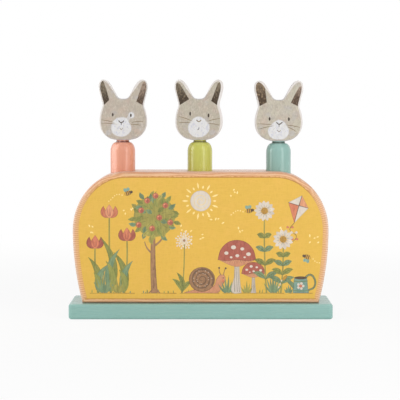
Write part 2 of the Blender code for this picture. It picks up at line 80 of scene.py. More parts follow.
# The floor is partly white to the camera near the toy, and fully white further off
FLOOR_WHITE = 0.87
FLOOR_FADE = (0.25, 0.9)
FLOOR_REACH = 12
FLOOR_COLOUR = (0.86, 0.86, 0.86, 1)
FLOOR_ROUGHNESS = 0.9
FLOOR_SPECULAR = 0.1

# Roundings, clearances and gaps that the solids have
PANEL_EDGE_ROUND = 0.0018
BASE_EDGE_ROUND = 0.0022
HEAD_EDGE_ROUND = 0.0012
PEG_COLLAR_HEIGHT = 0.0017
# How much of a peg's collar, from its foot, is painted dark as the shade under the head
PEG_SHADE_BAND = 0.00145
# How much wider the collar is at its foot, where it runs out onto the end of the peg's shoulder
PEG_FLARE = 0.0006
GUIDE_CLEARANCE = 0.0005
BORE_CLEARANCE = 0.0005
RECESS_CLEARANCE = 0.0008
SCREW_CLEARANCE = 0.0003
CONTACT_GAP = 0.0003
RIM_CHAMFER = 0.0006
# How far a cutter runs on past a face that it opens
CUT_OVERRUN = 0.002
# Joints that glue closes in the real toy are left this wide
HAIRLINE = 0.00005
# The blank rim round a head's print is rounded a little less than its solid's
HEAD_RIM_ROUND = 0.0008
# How far inside a rounding a picture's own face begins at the least, in millimetres
PRINT_MARGIN = 0.05

# Springs
SPRING_WIRE = 0.001
SPRING_TURNS = 10
SPRING_STEPS = 28
SPRING_END_TURNS = 1
SPRING_END_GAP = 0.0006
SPRING_ANCHOR = 0.0118
SPRING_TOP = 0.0899

# Grooves along the dowels, and the cross in a screw's head: how far its arms reach, half their width
# and its depth, as shares of the shank's width, and how much smaller it is at its bottom
FLUTE_DEPTH = 0.0002
CROSS_SHARES = (0.55, 0.14, 0.4)
CROSS_TAPER = 0.7

# How the solids' meshes are read and refined
SAME_PLACE = 0.00001
CORNER_ANGLE = math.radians(32)
DRAWN_CORNER = math.radians(95)
STRAIGHT_RATIO = 3.0
PRINT_TOLERANCE = 0.001
TRIANGLES_INSIDE = 1

# The border round the printed front, in millimetres
SIDE_BAND = 5.4
TOP_BAND = 5.5
FOOT_BAND = 3.3
GROUND_HEIGHT = 9

# Leaves wider than this have an edge of this width, and streaks, each given by its place across the
# leaf, as a share of its width, and by how much lighter it is
BROAD_LEAF = 4.5
LEAF_EDGE = 0.35
LEAF_STREAKS = ((-0.26, -0.5), (-0.1, 0.3), (0.12, -0.4), (0.28, 0.35))
# How much darker a shape's edge is
EDGE_SHADE = 0.9
CROWN_LEAVES = 50
GOLDEN_ANGLE = math.pi * (3 - math.sqrt(5))

SIDES = ("left", "middle", "right")
GARDEN_SEED = 11
HEAD_SEEDS = {"left": 21, "middle": 22, "right": 23}

BLOCK_DOWELS = [name for name in sorted(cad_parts) if name.startswith("block_dowel")]
BASE_SCREWS = [name for name in sorted(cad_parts) if name.startswith("base_screw")]


# Reading the solids


def merged(node):
    """A solid's mesh with the corners of its triangles joined."""
    bm = bmesh.new()
    bm.from_mesh(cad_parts[node].data)
    bmesh.ops.remove_doubles(bm, verts=bm.verts, dist=SAME_PLACE)
    return bm


def chains(edges):
    """The lines that edges make, each as a list of its vertices in order, and whether it is closed."""
    beside = {}
    for first, second in edges:
        beside.setdefault(first, []).append(second)
        beside.setdefault(second, []).append(first)
    found = []
    while beside:
        ends = [vert for vert in beside if len(beside[vert]) == 1]
        line = [ends[0] if ends else next(iter(beside))]
        while beside.get(line[-1]):
            following = beside[line[-1]].pop()
            beside[following].remove(line[-1])
            line.append(following)
        closed = line[0] == line[-1] and len(line) > 2
        found.append((line[:-1] if closed else line, closed))
        beside = {vert: others for vert, others in beside.items() if others}
    return found


def signed_area(points):
    return sum(
        start[0] * end[1] - end[0] * start[1]
        for start, end in zip(points, points[1:] + points[:1])
    ) / 2


def ring(node, axis, value):
    """The largest loop of a solid's edges at one coordinate, anticlockwise in the other two."""
    bm = merged(node)
    others = [number for number in range(3) if number != axis]
    edges = [
        edge.verts
        for edge in bm.edges
        if all(abs(vert.co[axis] - value) < SAME_PLACE for vert in edge.verts)
    ]
    loops = [
        [Vector((vert.co[others[0]], vert.co[others[1]])) for vert in line]
        for line, closed in chains(edges)
        if closed
    ]
    bm.free()
    loop = max(loops, key=lambda points: abs(signed_area(points)))
    return loop if signed_area(loop) > 0 else loop[::-1]


def axis_of(node):
    """Where a turned solid's upright axis stands."""
    low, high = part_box(node)
    return (low.x + high.x) / 2, (low.y + high.y) / 2


def meridian(node):
    """A turned solid's profile as (radius, height) points, and whether it is closed."""
    bm = merged(node)
    x, y = axis_of(node)
    edges = [
        edge.verts
        for edge in bm.edges
        if all(
            abs(vert.co.y - y) < SAME_PLACE and vert.co.x > x - SAME_PLACE for vert in edge.verts
        )
    ]
    line, closed = max(chains(edges), key=lambda found: len(found[0]))
    profile = [Vector((max(vert.co.x - x, 0), vert.co.z)) for vert in line]
    bm.free()
    return profile, closed


# Lines and outlines in two dimensions


def smoothed(points, steps, closed=True, corner=CORNER_ANGLE):
    """Points on a curve through the given ones, on which sharp turns and long straights are kept."""
    points = [Vector(point) for point in points]
    count = len(points)
    runs = [points[(number + 1) % count] - points[number] for number in range(count)]
    leave, arrive = [], []
    for number in range(count):
        before, after = runs[number - 1], runs[number]
        is_end = not closed and number in (0, count - 1)
        if is_end or before.angle(after) > corner:
            leave.append(after.normalized())
            arrive.append(before.normalized())
            continue
        if before.length > STRAIGHT_RATIO * after.length:
            heading = before.normalized()
        elif after.length > STRAIGHT_RATIO * before.length:
            heading = after.normalized()
        else:
            mixed = before.normalized() * after.length + after.normalized() * before.length
            heading = mixed.normalized()
        leave.append(heading)
        arrive.append(heading)
    line = []
    for number in range(count if closed else count - 1):
        following = (number + 1) % count
        start, end = points[number], points[following]
        along = runs[number].normalized()
        if min(along.dot(leave[number]), along.dot(arrive[following])) > 1 - 1e-6:
            line.append(start)
            continue
        reach = runs[number].length / 3
        handles = (start + leave[number] * reach, end - arrive[following] * reach)
        drawn = interpolate_bezier(start, *handles, end, steps + 1)
        line += [point.to_2d() for point in drawn[:-1]]
    return line if closed else line + [points[-1]]


def curve(points, closed=True, steps=4):
    """A drawn line through points, with corners only at its sharpest turns."""
    return smoothed(points, steps, closed, DRAWN_CORNER)


def outward(points):
    """The direction out of an anticlockwise outline at each of its points, and its miter."""
    found = []
    for number in range(len(points)):
        before = (points[number] - points[number - 1]).normalized()
        after = (points[(number + 1) % len(points)] - points[number]).normalized()
        out = Vector((before.y + after.y, -before.x - after.x)).normalized()
        found.append((out, max(out.dot(Vector((after.y, -after.x))), 0.3)))
    return found


def inset(points, distance):
    """An anticlockwise outline drawn in by a distance, or by one distance for each of its points."""
    distances = distance if isinstance(distance, list) else [distance] * len(points)
    return [
        point - out * drawn / miter
        for point, (out, miter), drawn in zip(points, outward(points), distances)
    ]


def ellipse(centre, radius_u, radius_v, turn=0.0, segments=20):
    spin = Matrix.Rotation(turn, 2)
    angles = [2 * math.pi * step / segments for step in range(segments)]
    return [
        Vector(centre) + spin @ Vector((radius_u * math.cos(angle), radius_v * math.sin(angle)))
        for angle in angles
    ]


def bow(start, end, bend=0.0, steps=8):
    """A line from start to end that bows to its left by a share of its length."""
    start, end = Vector(start), Vector(end)
    run = end - start
    handle = (start + end) / 2 + Vector((-run.y, run.x)) * 2 * bend
    shares = [step / steps for step in range(steps + 1)]
    return [start * (1 - share) ** 2 + handle * 2 * share * (1 - share) + end * share**2 for share in shares]


def ribbon(line, widths):
    """A stroke along a line, with its width at each of the line's points."""
    last = len(line) - 1
    left, right = [], []
    for number, (point, width) in enumerate(zip(line, widths)):
        forward = line[min(number + 1, last)] - line[max(number - 1, 0)]
        across = Vector((-forward.y, forward.x)).normalized() * width / 2
        left.append(point + across)
        right.append(point - across)
    return right + left[::-1]


def leaf(base, tip, width, bend=0.0, belly=0.45, steps=10):
    """A pointed leaf's outline and its midrib. It is widest at the belly, a share of its length."""
    rib = bow(base, tip, bend, steps)
    power = math.log(0.5) / math.log(belly)
    widths = [width * math.sin(math.pi * (step / steps) ** power) for step in range(1, steps)]
    sides = ribbon(rib[1:-1], widths)
    return [rib[0], *sides[: steps - 1], rib[-1], *sides[steps - 1 :]], rib


# Solid pieces


def linked(name, data):
    """A new object in the scene."""
    thing = bpy.data.objects.new(name, data)
    bpy.context.scene.collection.objects.link(thing)
    return thing


def mesh_of(name, bm):
    """A mesh with what a bmesh holds. The bmesh is freed."""
    mesh = bpy.data.meshes.new(name)
    bm.to_mesh(mesh)
    bm.free()
    return mesh


def new_piece(name, bm, *materials):
    """An object from a bmesh, shaded smooth except at its sharp edges."""
    loose = [vert for vert in bm.verts if not vert.link_faces]
    bmesh.ops.delete(bm, geom=loose, context="VERTS")
    bmesh.ops.recalc_face_normals(bm, faces=bm.faces)
    piece = linked(name, mesh_of(name, bm))
    for material in materials:
        piece.data.materials.append(material)
    shade(piece)
    return piece


def shade(piece):
    """Smooth shading, in which large faces set the shading where they meet a rounding."""
    piece.data.shade_smooth()
    piece.data.set_sharp_from_angle(angle=CORNER_ANGLE)
    modifier = piece.modifiers.new("normals", "WEIGHTED_NORMAL")
    modifier.keep_sharp = True


def rim(edge, radius, direction, steps=6):
    """A rounded rim from its face to its side, as pairs of how far it is drawn in and its depth."""
    angles = [math.pi / 2 * step / steps for step in range(steps + 1)]
    return [
        (radius * (1 - math.sin(angle)), edge + direction * radius * (1 - math.cos(angle)))
        for angle in angles
    ]


def bridge(bm, lower, upper):
    """Joins two rings of vertices with faces. A ring may be a single vertex."""
    faces = []
    for number in range(max(len(lower), len(upper))):
        pairs = ((lower, number), (lower, number + 1), (upper, number + 1), (upper, number))
        corners = [verts[place % len(verts)] for verts, place in pairs]
        faces.append(bm.faces.new(dict.fromkeys(corners)))
    return faces


def skin(sections, closed=False):
    """A bmesh over rings of points, with flat ends. A ring may be a single point."""
    bm = bmesh.new()
    rings = [[bm.verts.new(point) for point in section] for section in sections]
    for lower, upper in zip(rings, rings[1:] + rings[:1] if closed else rings[1:]):
        if len(lower) + len(upper) > 2:
            bridge(bm, lower, upper)
    for end in () if closed else (rings[0], rings[-1]):
        if len(end) > 1:
            bm.faces.new(end)
    return bm


def slab(outline, low, high, edge_round):
    """A board lying between two heights, with both rims rounded over, as a bmesh."""
    levels = rim(low, edge_round, 1) + rim(high, edge_round, -1)[::-1]
    return skin([[(*point, height) for point in inset(outline, drawn)] for drawn, height in levels])


def round_angles(segments):
    return [2 * math.pi * step / segments for step in range(segments)]


def lathe(profile, closed, x=0.0, y=0.0, segments=96, flutes=0):
    """A solid turned about an upright axis, as a bmesh. Flutes are grooves along its widest part."""
    widest = max(radius for radius, _ in profile)
    sections = []
    for radius, height in profile:
        if radius < SAME_PLACE:
            sections.append([(x, y, height)])
            continue
        depth = FLUTE_DEPTH if flutes and radius > widest - SAME_PLACE else 0
        section = []
        for angle in round_angles(segments):
            reach = radius - depth * max(math.cos(flutes * angle), 0)
            section.append((x + reach * math.cos(angle), y + reach * math.sin(angle), height))
        sections.append(section)
    return skin(sections, closed)


def tube(line, frames, radius, segments=12):
    """A round wire along a line whose two across directions are given at each point, as a bmesh."""
    angles = round_angles(segments)
    return skin(
        [
            [point + radius * (math.cos(angle) * first + math.sin(angle) * second) for angle in angles]
            for point, (first, second) in zip(line, frames)
        ]
    )


def carve(piece, cutters):
    """Takes shapes, each given as a bmesh, out of a piece."""
    joined = bmesh.new()
    for cutter in cutters:
        bmesh.ops.recalc_face_normals(cutter, faces=cutter.faces)
        part = mesh_of("cutter", cutter)
        joined.from_mesh(part)
        bpy.data.meshes.remove(part)
    tool = linked("cutters", mesh_of("cutters", joined))
    piece.modifiers.clear()
    cut = piece.modifiers.new("cut", "BOOLEAN")
    cut.operation = "DIFFERENCE"
    cut.solver = "EXACT"
    cut.object = tool
    shape = piece.evaluated_get(bpy.context.evaluated_depsgraph_get())
    piece.data = bpy.data.meshes.new_from_object(shape)
    piece.modifiers.clear()
    bpy.data.objects.remove(tool)
    shade(piece)


def stand_in(piece, node, body):
    """Lets a piece stand for a solid, on its body, and hides the solid."""
    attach(piece, body)
    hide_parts(node)


# Materials


def srgb(colour):
    """A colour given as 0 to 255 in sRGB, as linear RGBA."""
    shares = [value / 255 for value in colour]
    linear = [share / 12.92 if share <= 0.04045 else ((share + 0.055) / 1.055) ** 2.4 for share in shares]
    return (*linear, 1)


class Nodes:
    """A node tree, and short ways to build it."""

    def __init__(self, tree):
        self.tree = tree

    def node(self, kind, **settings):
        made = self.tree.nodes.new(kind)
        for setting, value in settings.items():
            setattr(made, setting, value)
        return made

    def link(self, value, socket):
        if isinstance(value, (int, float)):
            socket.default_value = value
        else:
            self.tree.links.new(value, socket)

    def fed(self, kind, *values, **settings):
        """The first result of a new node whose inputs take the values in order."""
        made = self.node(kind, **settings)
        for value, socket in zip(values, made.inputs):
            self.link(value, socket)
        return made.outputs[0]

    def calc(self, operation, *values):
        return self.fed("ShaderNodeMath", *values, operation=operation)

    def times(self, first, second):
        return self.calc("MULTIPLY", first, second)

    def ramp(self, value, low, high, start=0.0, end=1.0, **settings):
        """A value carried from one range to another, and held at its ends."""
        return self.fed("ShaderNodeMapRange", value, low, high, start, end, **settings)


class Finish(Nodes):
    """One Principled material and the nodes that vary it over the surface."""

    def __init__(self, name, colour, roughness, metallic=0.0):
        self.material = bpy.data.materials.new(name)
        self.material.use_nodes = True
        super().__init__(self.material.node_tree)
        self.inputs = self.tree.nodes["Principled BSDF"].inputs
        self.inputs["Roughness"].default_value = roughness
        self.inputs["Metallic"].default_value = metallic
        self.roughness = roughness
        self.place = self.node("ShaderNodeTexCoord").outputs["Object"]
        self.colour = self.node("ShaderNodeRGB").outputs[0]
        self.colour.default_value = srgb(colour)
        self.height = None

    def attribute(self, name):
        return self.node("ShaderNodeAttribute", attribute_name=name).outputs["Fac"]

    def height_share(self, low, high):
        """How far up the piece a point lies between two heights, from 0 to 1."""
        parts = self.node("ShaderNodeSeparateXYZ")
        self.link(self.place, parts.inputs[0])
        return self.ramp(parts.outputs["Z"], low, high)

    def noise(self, size, stretch=(1, 1, 1), detail=2.0, low=0.35, high=0.65):
        """Smooth noise from 0 to 1 with features of about one size, stretched along an axis."""
        mapping = self.node("ShaderNodeMapping")
        self.link(self.place, mapping.inputs["Vector"])
        mapping.inputs["Scale"].default_value = [1 / (size * along) for along in stretch]
        made = self.node("ShaderNodeTexNoise")
        self.link(mapping.outputs[0], made.inputs["Vector"])
        made.inputs["Scale"].default_value = 1.0
        made.inputs["Detail"].default_value = detail
        return self.ramp(made.outputs["Fac"], low, high)

    def mix(self, share, colour, mode="MIX"):
        """Mixes another colour into the surface by a share."""
        made = self.node("ShaderNodeMix", data_type="RGBA", blend_type=mode)
        self.link(share, made.inputs[0])
        self.link(self.colour, made.inputs[6])
        if isinstance(colour, tuple):
            made.inputs[7].default_value = srgb(colour)
        else:
            self.link(colour, made.inputs[7])
        self.colour = made.outputs[2]

    def mottle(self, colour, share, *noise):
        """Mixes in another colour where a noise is high, and gives the noise."""
        pattern = self.noise(*noise)
        self.mix(self.times(pattern, share), colour)
        return pattern

    def vary_roughness(self, pattern, amount):
        varied = self.ramp(pattern, 0, 1, self.roughness - amount, self.roughness + amount)
        self.link(varied, self.inputs["Roughness"])

    def emboss(self, pattern, depth):
        """Adds a pattern to the surface's relief, with its full height in metres."""
        raised = self.times(pattern, depth)
        self.height = self.calc("ADD", self.height, raised) if self.height else raised

    def done(self):
        self.link(self.colour, self.inputs["Base Color"])
        if self.height:
            bump = self.node("ShaderNodeBump")
            bump.inputs["Distance"].default_value = 1.0
            self.link(self.height, bump.inputs["Height"])
            self.link(bump.outputs[0], self.inputs["Normal"])
        return self.material


# A noise that isn't stretched
ROUND = (1, 1, 1)
# Between these heights the ears' dark patches turn pale and flecked
EAR_HEIGHTS = (0.2, 0.213)
PRINT_ROUGHNESS = 0.55
FUR_ROUGHNESS = 0.6
FUR_SPECULAR = 0.3
# Pencil strokes on the border: how far apart the short ones are, in millimetres, and how many of the
# long ones lie side by side
STROKE_SPACING = 1.95
LONG_STROKES = 2.1


def satin_paint(name, colour, light, dark, grain, roughness):
    """Brushed paint over wood, through which the grain just shows."""
    finish = Finish(name, colour, roughness)
    finish.mottle(light, 0.4, 0.012, grain, 3)
    streaks = finish.mottle(dark, 0.35, 0.0016, grain, 3, 0.42, 0.7)
    finish.mottle(light, 0.25, 0.0004, ROUND, 1, 0.62, 0.8)
    finish.vary_roughness(streaks, 0.05)
    finish.emboss(streaks, 0.00002)
    finish.emboss(finish.noise(0.0006), 0.000006)
    return finish.done()


def gloss_paint(name, colour, light, dark):
    """Thick glossy paint on a turned peg, with the grain and the lathe's rings just showing."""
    finish = Finish(name, colour, 0.26)
    clouds = finish.mottle(light, 0.4, 0.008, (1, 1, 4), 3)
    grain = finish.mottle(dark, 0.25, 0.0009, (1, 1, 14), 3, 0.42, 0.75)
    finish.vary_roughness(clouds, 0.03)
    finish.emboss(grain, 0.000006)
    finish.emboss(finish.noise(0.0009, (6, 6, 1), 1), 0.000002)
    finish.inputs["Coat Weight"].default_value = 0.3
    finish.inputs["Coat Roughness"].default_value = 0.18
    return finish.done()


def border_paint(name):
    """Peach paint under pencil strokes: short ones across the band at the sides, long ones elsewhere.

    The panels carry the distance along the band, the share of the way across it, and how far it
    stands upright.
    """
    finish = Finish(name, (227, 182, 140), 0.36)
    finish.mottle((233, 176, 130), 0.6, 0.012, (2, 1, 1), 3)
    along = finish.attribute("along")
    across = finish.attribute("across")
    upright = finish.ramp(finish.attribute("upright"), 0.7, 0.95)
    level = finish.calc("SUBTRACT", 1.0, upright)
    shaken = finish.calc("MULTIPLY_ADD", finish.noise(0.003, ROUND, 3), 0.14, across)
    # From the rim inwards the paint is dusty, then orange, then yellower
    finish.mix(finish.times(finish.ramp(across, 0.36, 0.2), level), (205, 160, 134))
    finish.mix(finish.times(finish.ramp(across, 0.45, 0.0), upright), (228, 207, 190))
    finish.mix(finish.times(finish.ramp(shaken, 0.55, 1.0, 0, 0.75), level), (232, 180, 104))
    finish.mix(finish.times(finish.ramp(shaken, 0.45, 0.9, 0, 0.85), upright), (232, 182, 104))
    wander = finish.noise(0.01, ROUND, 3, 0.2, 0.8)
    turns = finish.times(along, 2 * math.pi / STROKE_SPACING)
    short = finish.calc("SINE", finish.calc("MULTIPLY_ADD", wander, 6.0, turns))
    reach = finish.times(across, 2 * math.pi * LONG_STROKES)
    drift = finish.noise(0.012, (3, 1, 0.6), 3, 0.2, 0.8)
    long = finish.calc("SINE", finish.calc("MULTIPLY_ADD", drift, 9.0, reach))
    broken = finish.noise(0.0016, ROUND, 3, 0.25, 0.5)
    for strokes, share in ((short, upright), (long, level)):
        part = finish.times(share, broken)
        finish.mix(finish.times(finish.ramp(strokes, 0.0, 0.6, 0, 0.65), part), (206, 142, 100))
        finish.mix(finish.times(finish.ramp(strokes, -0.4, -0.9, 0, 0.4), part), (244, 206, 170))
    line = finish.times(finish.ramp(shaken, 0.86, 0.92), finish.ramp(level, 0, 1, 0.15, 0.95))
    finish.mix(line, (196, 138, 66))
    rim_line = finish.times(finish.ramp(shaken, 0.09, 0.03), finish.ramp(across, 0.0, 0.01))
    finish.mix(finish.times(rim_line, 0.5), (166, 138, 116))
    finish.vary_roughness(broken, 0.05)
    finish.emboss(broken, 0.000012)
    return finish.done()


def print_ink(name, colour, wash, pencil):
    """Printed gouache: a wash that pools, crossed by pencil strokes, a little other on each shape."""
    finish = Finish(name, colour, PRINT_ROUGHNESS)
    finish.mottle(wash, 0.7, 0.004, (1, 1, 1.6), 4, 0.35, 0.62)
    finish.mottle(pencil, 0.55, 0.0011, (1, 1, 5), 3, 0.48, 0.72)
    finish.mottle(pencil, 0.4, 0.0004, (1, 1, 3), 1, 0.55, 0.75)
    level = finish.ramp(finish.attribute("tint"), -1, 1, 0.5, 1.12)
    finish.mix(1.0, finish.fed("ShaderNodeCombineColor", level, level, level), "MULTIPLY")
    finish.emboss(finish.noise(0.0005), 0.000008)
    return finish.done()


def field_print(name):
    """The printed yellow ground, washed unevenly on a canvas-like paper."""
    finish = Finish(name, (231, 186, 79), PRINT_ROUGHNESS)
    finish.mottle((228, 185, 78), 0.8, 0.05, ROUND, 4)
    finish.mottle((236, 188, 88), 0.6, 0.012, ROUND, 5, 0.45, 0.75)
    finish.mottle((240, 196, 100), 0.3, 0.0014, (4, 1, 1), 2, 0.5, 0.8)
    weave = finish.times(finish.noise(0.0008, (6, 1, 1), 1), finish.noise(0.0008, (1, 1, 6), 1))
    finish.mix(finish.times(weave, 0.35), (214, 166, 64))
    finish.emboss(weave, 0.00001)
    return finish.done()


def fur_print(name, colour, wash):
    """Printed grey-beige fur in upright strokes, with warm, pinkish and lilac patches."""
    finish = Finish(name, colour, FUR_ROUGHNESS)
    finish.inputs["Specular IOR Level"].default_value = FUR_SPECULAR
    finish.mottle(wash, 0.7, 0.006, (1, 1, 1.5), 3)
    finish.mottle((192, 170, 158), 0.5, 0.008, ROUND, 2, 0.52, 0.68)
    finish.mottle((182, 178, 180), 0.5, 0.007, (1.4, 1, 1), 3, 0.54, 0.68)
    tint = finish.attribute("tint")
    finish.mix(finish.ramp(tint, 0.5, 0.0, 0, 0.8), (190, 188, 192))
    finish.mix(finish.ramp(tint, 0.5, 1.0, 0, 0.7), (204, 180, 162))
    finish.mottle((160, 150, 138), 0.45, 0.0018, (1, 1, 1.6), 2, 0.52, 0.7)
    finish.mottle((214, 206, 194), 0.45, 0.0016, (1, 1, 1.6), 1, 0.54, 0.7)
    finish.mottle((158, 148, 136), 0.4, 0.0007, (1, 1, 2.2), 3, 0.5, 0.72)
    hairs = finish.mottle((210, 202, 192), 0.5, 0.0005, (1, 1, 2.5), 3, 0.52, 0.72)
    finish.emboss(hairs, 0.000008)
    return finish.done()


def muzzle_print(name):
    """White fur with faint lilac and warm grey hairs."""
    finish = Finish(name, (220, 219, 218), FUR_ROUGHNESS)
    finish.mottle((228, 229, 231), 0.6, 0.003, (1, 1, 2), 3)
    finish.mottle((212, 206, 198), 0.4, 0.002, ROUND, 3, 0.5, 0.7)
    flecks = finish.mottle((190, 191, 208), 0.6, 0.0013, (1, 1, 1.6), 2, 0.54, 0.66)
    finish.emboss(flecks, 0.000006)
    return finish.done()


def ear_print(name, dark, light, fleck):
    """A dark patch crowded with small flecks, which lightens towards the tip of the ear."""
    finish = Finish(name, dark, FUR_ROUGHNESS)
    finish.inputs["Specular IOR Level"].default_value = FUR_SPECULAR
    wander = finish.noise(0.002, ROUND, 3)
    rise = finish.calc("MULTIPLY_ADD", wander, 0.3, finish.height_share(*EAR_HEIGHTS))
    finish.mix(finish.ramp(rise, 0.1, 1.2, 0, 0.9), light)
    finish.mottle(dark, 0.6, 0.0018, (1, 1, 1.4), 2, 0.48, 0.62)
    flecks = finish.noise(0.0015, (1, 1, 1.3), 1, 0.54, 0.62)
    finish.mix(finish.times(flecks, finish.ramp(rise, 0.0, 0.5, 0.25, 0.85)), fleck)
    finish.emboss(flecks, 0.000006)
    return finish.done()


def steel(name, colour, shadow, roughness, stretch):
    """Drawn or turned steel with fine lines."""
    finish = Finish(name, colour, roughness, 1.0)
    lines = finish.mottle(shadow, 0.4, 0.0004, stretch)
    finish.vary_roughness(lines, 0.08)
    finish.emboss(lines, 0.000004)
    return finish.done()


def bare_wood(name):
    """Bare beech with its grain upright and short dark flecks."""
    finish = Finish(name, (214, 184, 140), 0.62)
    grain = finish.mottle((198, 162, 116), 0.5, 0.0012, (1, 1, 14), 4)
    finish.mottle((170, 132, 92), 0.5, 0.0004, (1, 1, 5), 1, 0.6, 0.72)
    finish.vary_roughness(grain, 0.06)
    finish.emboss(grain, 0.00002)
    return finish.done()


def nylon(name):
    """Moulded nylon with a faint orange-peel skin."""
    finish = Finish(name, (226, 224, 216), 0.42)
    cloud = finish.mottle((216, 212, 200), 0.4, 0.004, ROUND, 3)
    finish.vary_roughness(cloud, 0.05)
    finish.emboss(finish.noise(0.0008), 0.00001)
    return finish.done()


# Each ink's own colour, the wash that pools in it and its pencil marks
INKS = {
    "leaf": ((140, 146, 78), (164, 158, 86), (98, 110, 58)),
    "olive": ((164, 156, 84), (184, 170, 90), (122, 120, 62)),
    "sage": ((120, 146, 112), (146, 160, 116), (84, 110, 88)),
    "vein": ((104, 108, 58), (120, 122, 70), (84, 86, 50)),
    "red": ((178, 98, 82), (192, 112, 92), (134, 70, 60)),
    "coral": ((208, 122, 92), (222, 142, 106), (172, 92, 72)),
    "blush": ((220, 152, 116), (230, 168, 126), (196, 124, 94)),
    "cream": ((226, 214, 198), (220, 206, 196), (208, 194, 178)),
    "straw": ((246, 220, 148), (250, 228, 164), (238, 206, 124)),
    "brown": ((168, 126, 92), (182, 140, 102), (124, 94, 70)),
    "bark": ((124, 94, 72), (140, 108, 82), (94, 72, 58)),
    "outline": ((92, 74, 58), (106, 86, 66), (74, 60, 48)),
    "teal": ((124, 158, 146), (150, 176, 156), (94, 128, 120)),
    "ochre": ((206, 156, 66), (214, 166, 76), (186, 136, 58)),
    "face_line": ((66, 54, 44), (78, 66, 54), (52, 44, 38)),
    "soft_line": ((134, 118, 92), (146, 130, 104), (110, 96, 76)),
    "hair_dark": ((176, 164, 148), (182, 170, 154), (164, 152, 138)),
    "hair_light": ((202, 193, 180), (208, 200, 188), (194, 185, 172)),
    "hair_pale": ((207, 203, 200), (212, 208, 206), (196, 192, 190)),
}


# The paints on the base, the block and the heads' rims, with their lighter and darker streaks
SATIN_PAINTS = {
    "base_paint": ("base paint", (142, 184, 175), (152, 190, 186), (126, 170, 160), (14, 1, 1), 0.3),
    "block_paint": (
        "block paint", (224, 180, 152), (232, 192, 166), (206, 158, 130), (14, 1, 1), 0.32,
    ),
    "blank": ("pale head paint", (222, 216, 211), (228, 224, 222), (208, 202, 196), (1, 1, 10), 0.5),
}
# The paints on the pegs, and darker copies of them that paint the shade under each head onto the foot of its
# collar
GLOSS_PAINTS = {
    "left_peg_paint": ("coral peg paint", (222, 150, 122), (230, 162, 132), (206, 130, 102)),
    "middle_peg_paint": ("lime peg paint", (192, 192, 84), (202, 200, 96), (172, 172, 66)),
    "right_peg_paint": ("teal peg paint", (140, 179, 170), (150, 188, 180), (120, 162, 152)),
    "left_neck": ("coral neck", (112, 56, 44), (124, 66, 52), (90, 42, 34)),
    "middle_neck": ("lime neck", (110, 104, 34), (120, 114, 42), (90, 86, 30)),
    "right_neck": ("teal neck", (66, 88, 80), (78, 102, 94), (52, 72, 66)),
}
# The heads' fur, and the washes over it
FURS = {
    "left_fur": ("left fur print", (188, 176, 161), (188, 179, 162)),
    "middle_fur": ("middle fur print", (186, 177, 160), (187, 181, 162)),
    "right_fur": ("right fur print", (194, 185, 168), (194, 190, 171)),
}
# The ears' dark patches, what they lighten to and their flecks
EARS = {
    "dark_ear": ("dark ear print", (64, 51, 39), (132, 121, 102), (132, 116, 94)),
    "brown_ear": ("brown ear print", (72, 57, 43), (134, 116, 95), (154, 132, 103)),
    "red_ear": ("reddish ear print", (82, 65, 52), (178, 157, 140), (152, 130, 110)),
}
STEELS = {
    "spring_steel": ("spring steel", (158, 158, 160), (120, 120, 124), 0.3, ROUND),
    "screw_steel": ("zinc plate", (186, 182, 168), (142, 138, 126), 0.34, (1, 1, 6)),
}


def make_finishes():
    """Every finish, by the name that the pieces and the pictures know it by."""
    made = {ink: print_ink("print " + ink.replace("_", " "), *INKS[ink]) for ink in INKS}
    kinds = (
        (satin_paint, SATIN_PAINTS), (gloss_paint, GLOSS_PAINTS), (fur_print, FURS),
        (ear_print, EARS), (steel, STEELS),
    )
    for make, table in kinds:
        made |= {name: make(*values) for name, values in table.items()}
    made["border_paint"] = border_paint("border paint")
    made["field"] = field_print("yellow field")
    made["muzzle"] = muzzle_print("muzzle print")
    made["bare_wood"] = bare_wood("bare beech")
    made["cap_plastic"] = nylon("nylon")
    return made


# Pictures


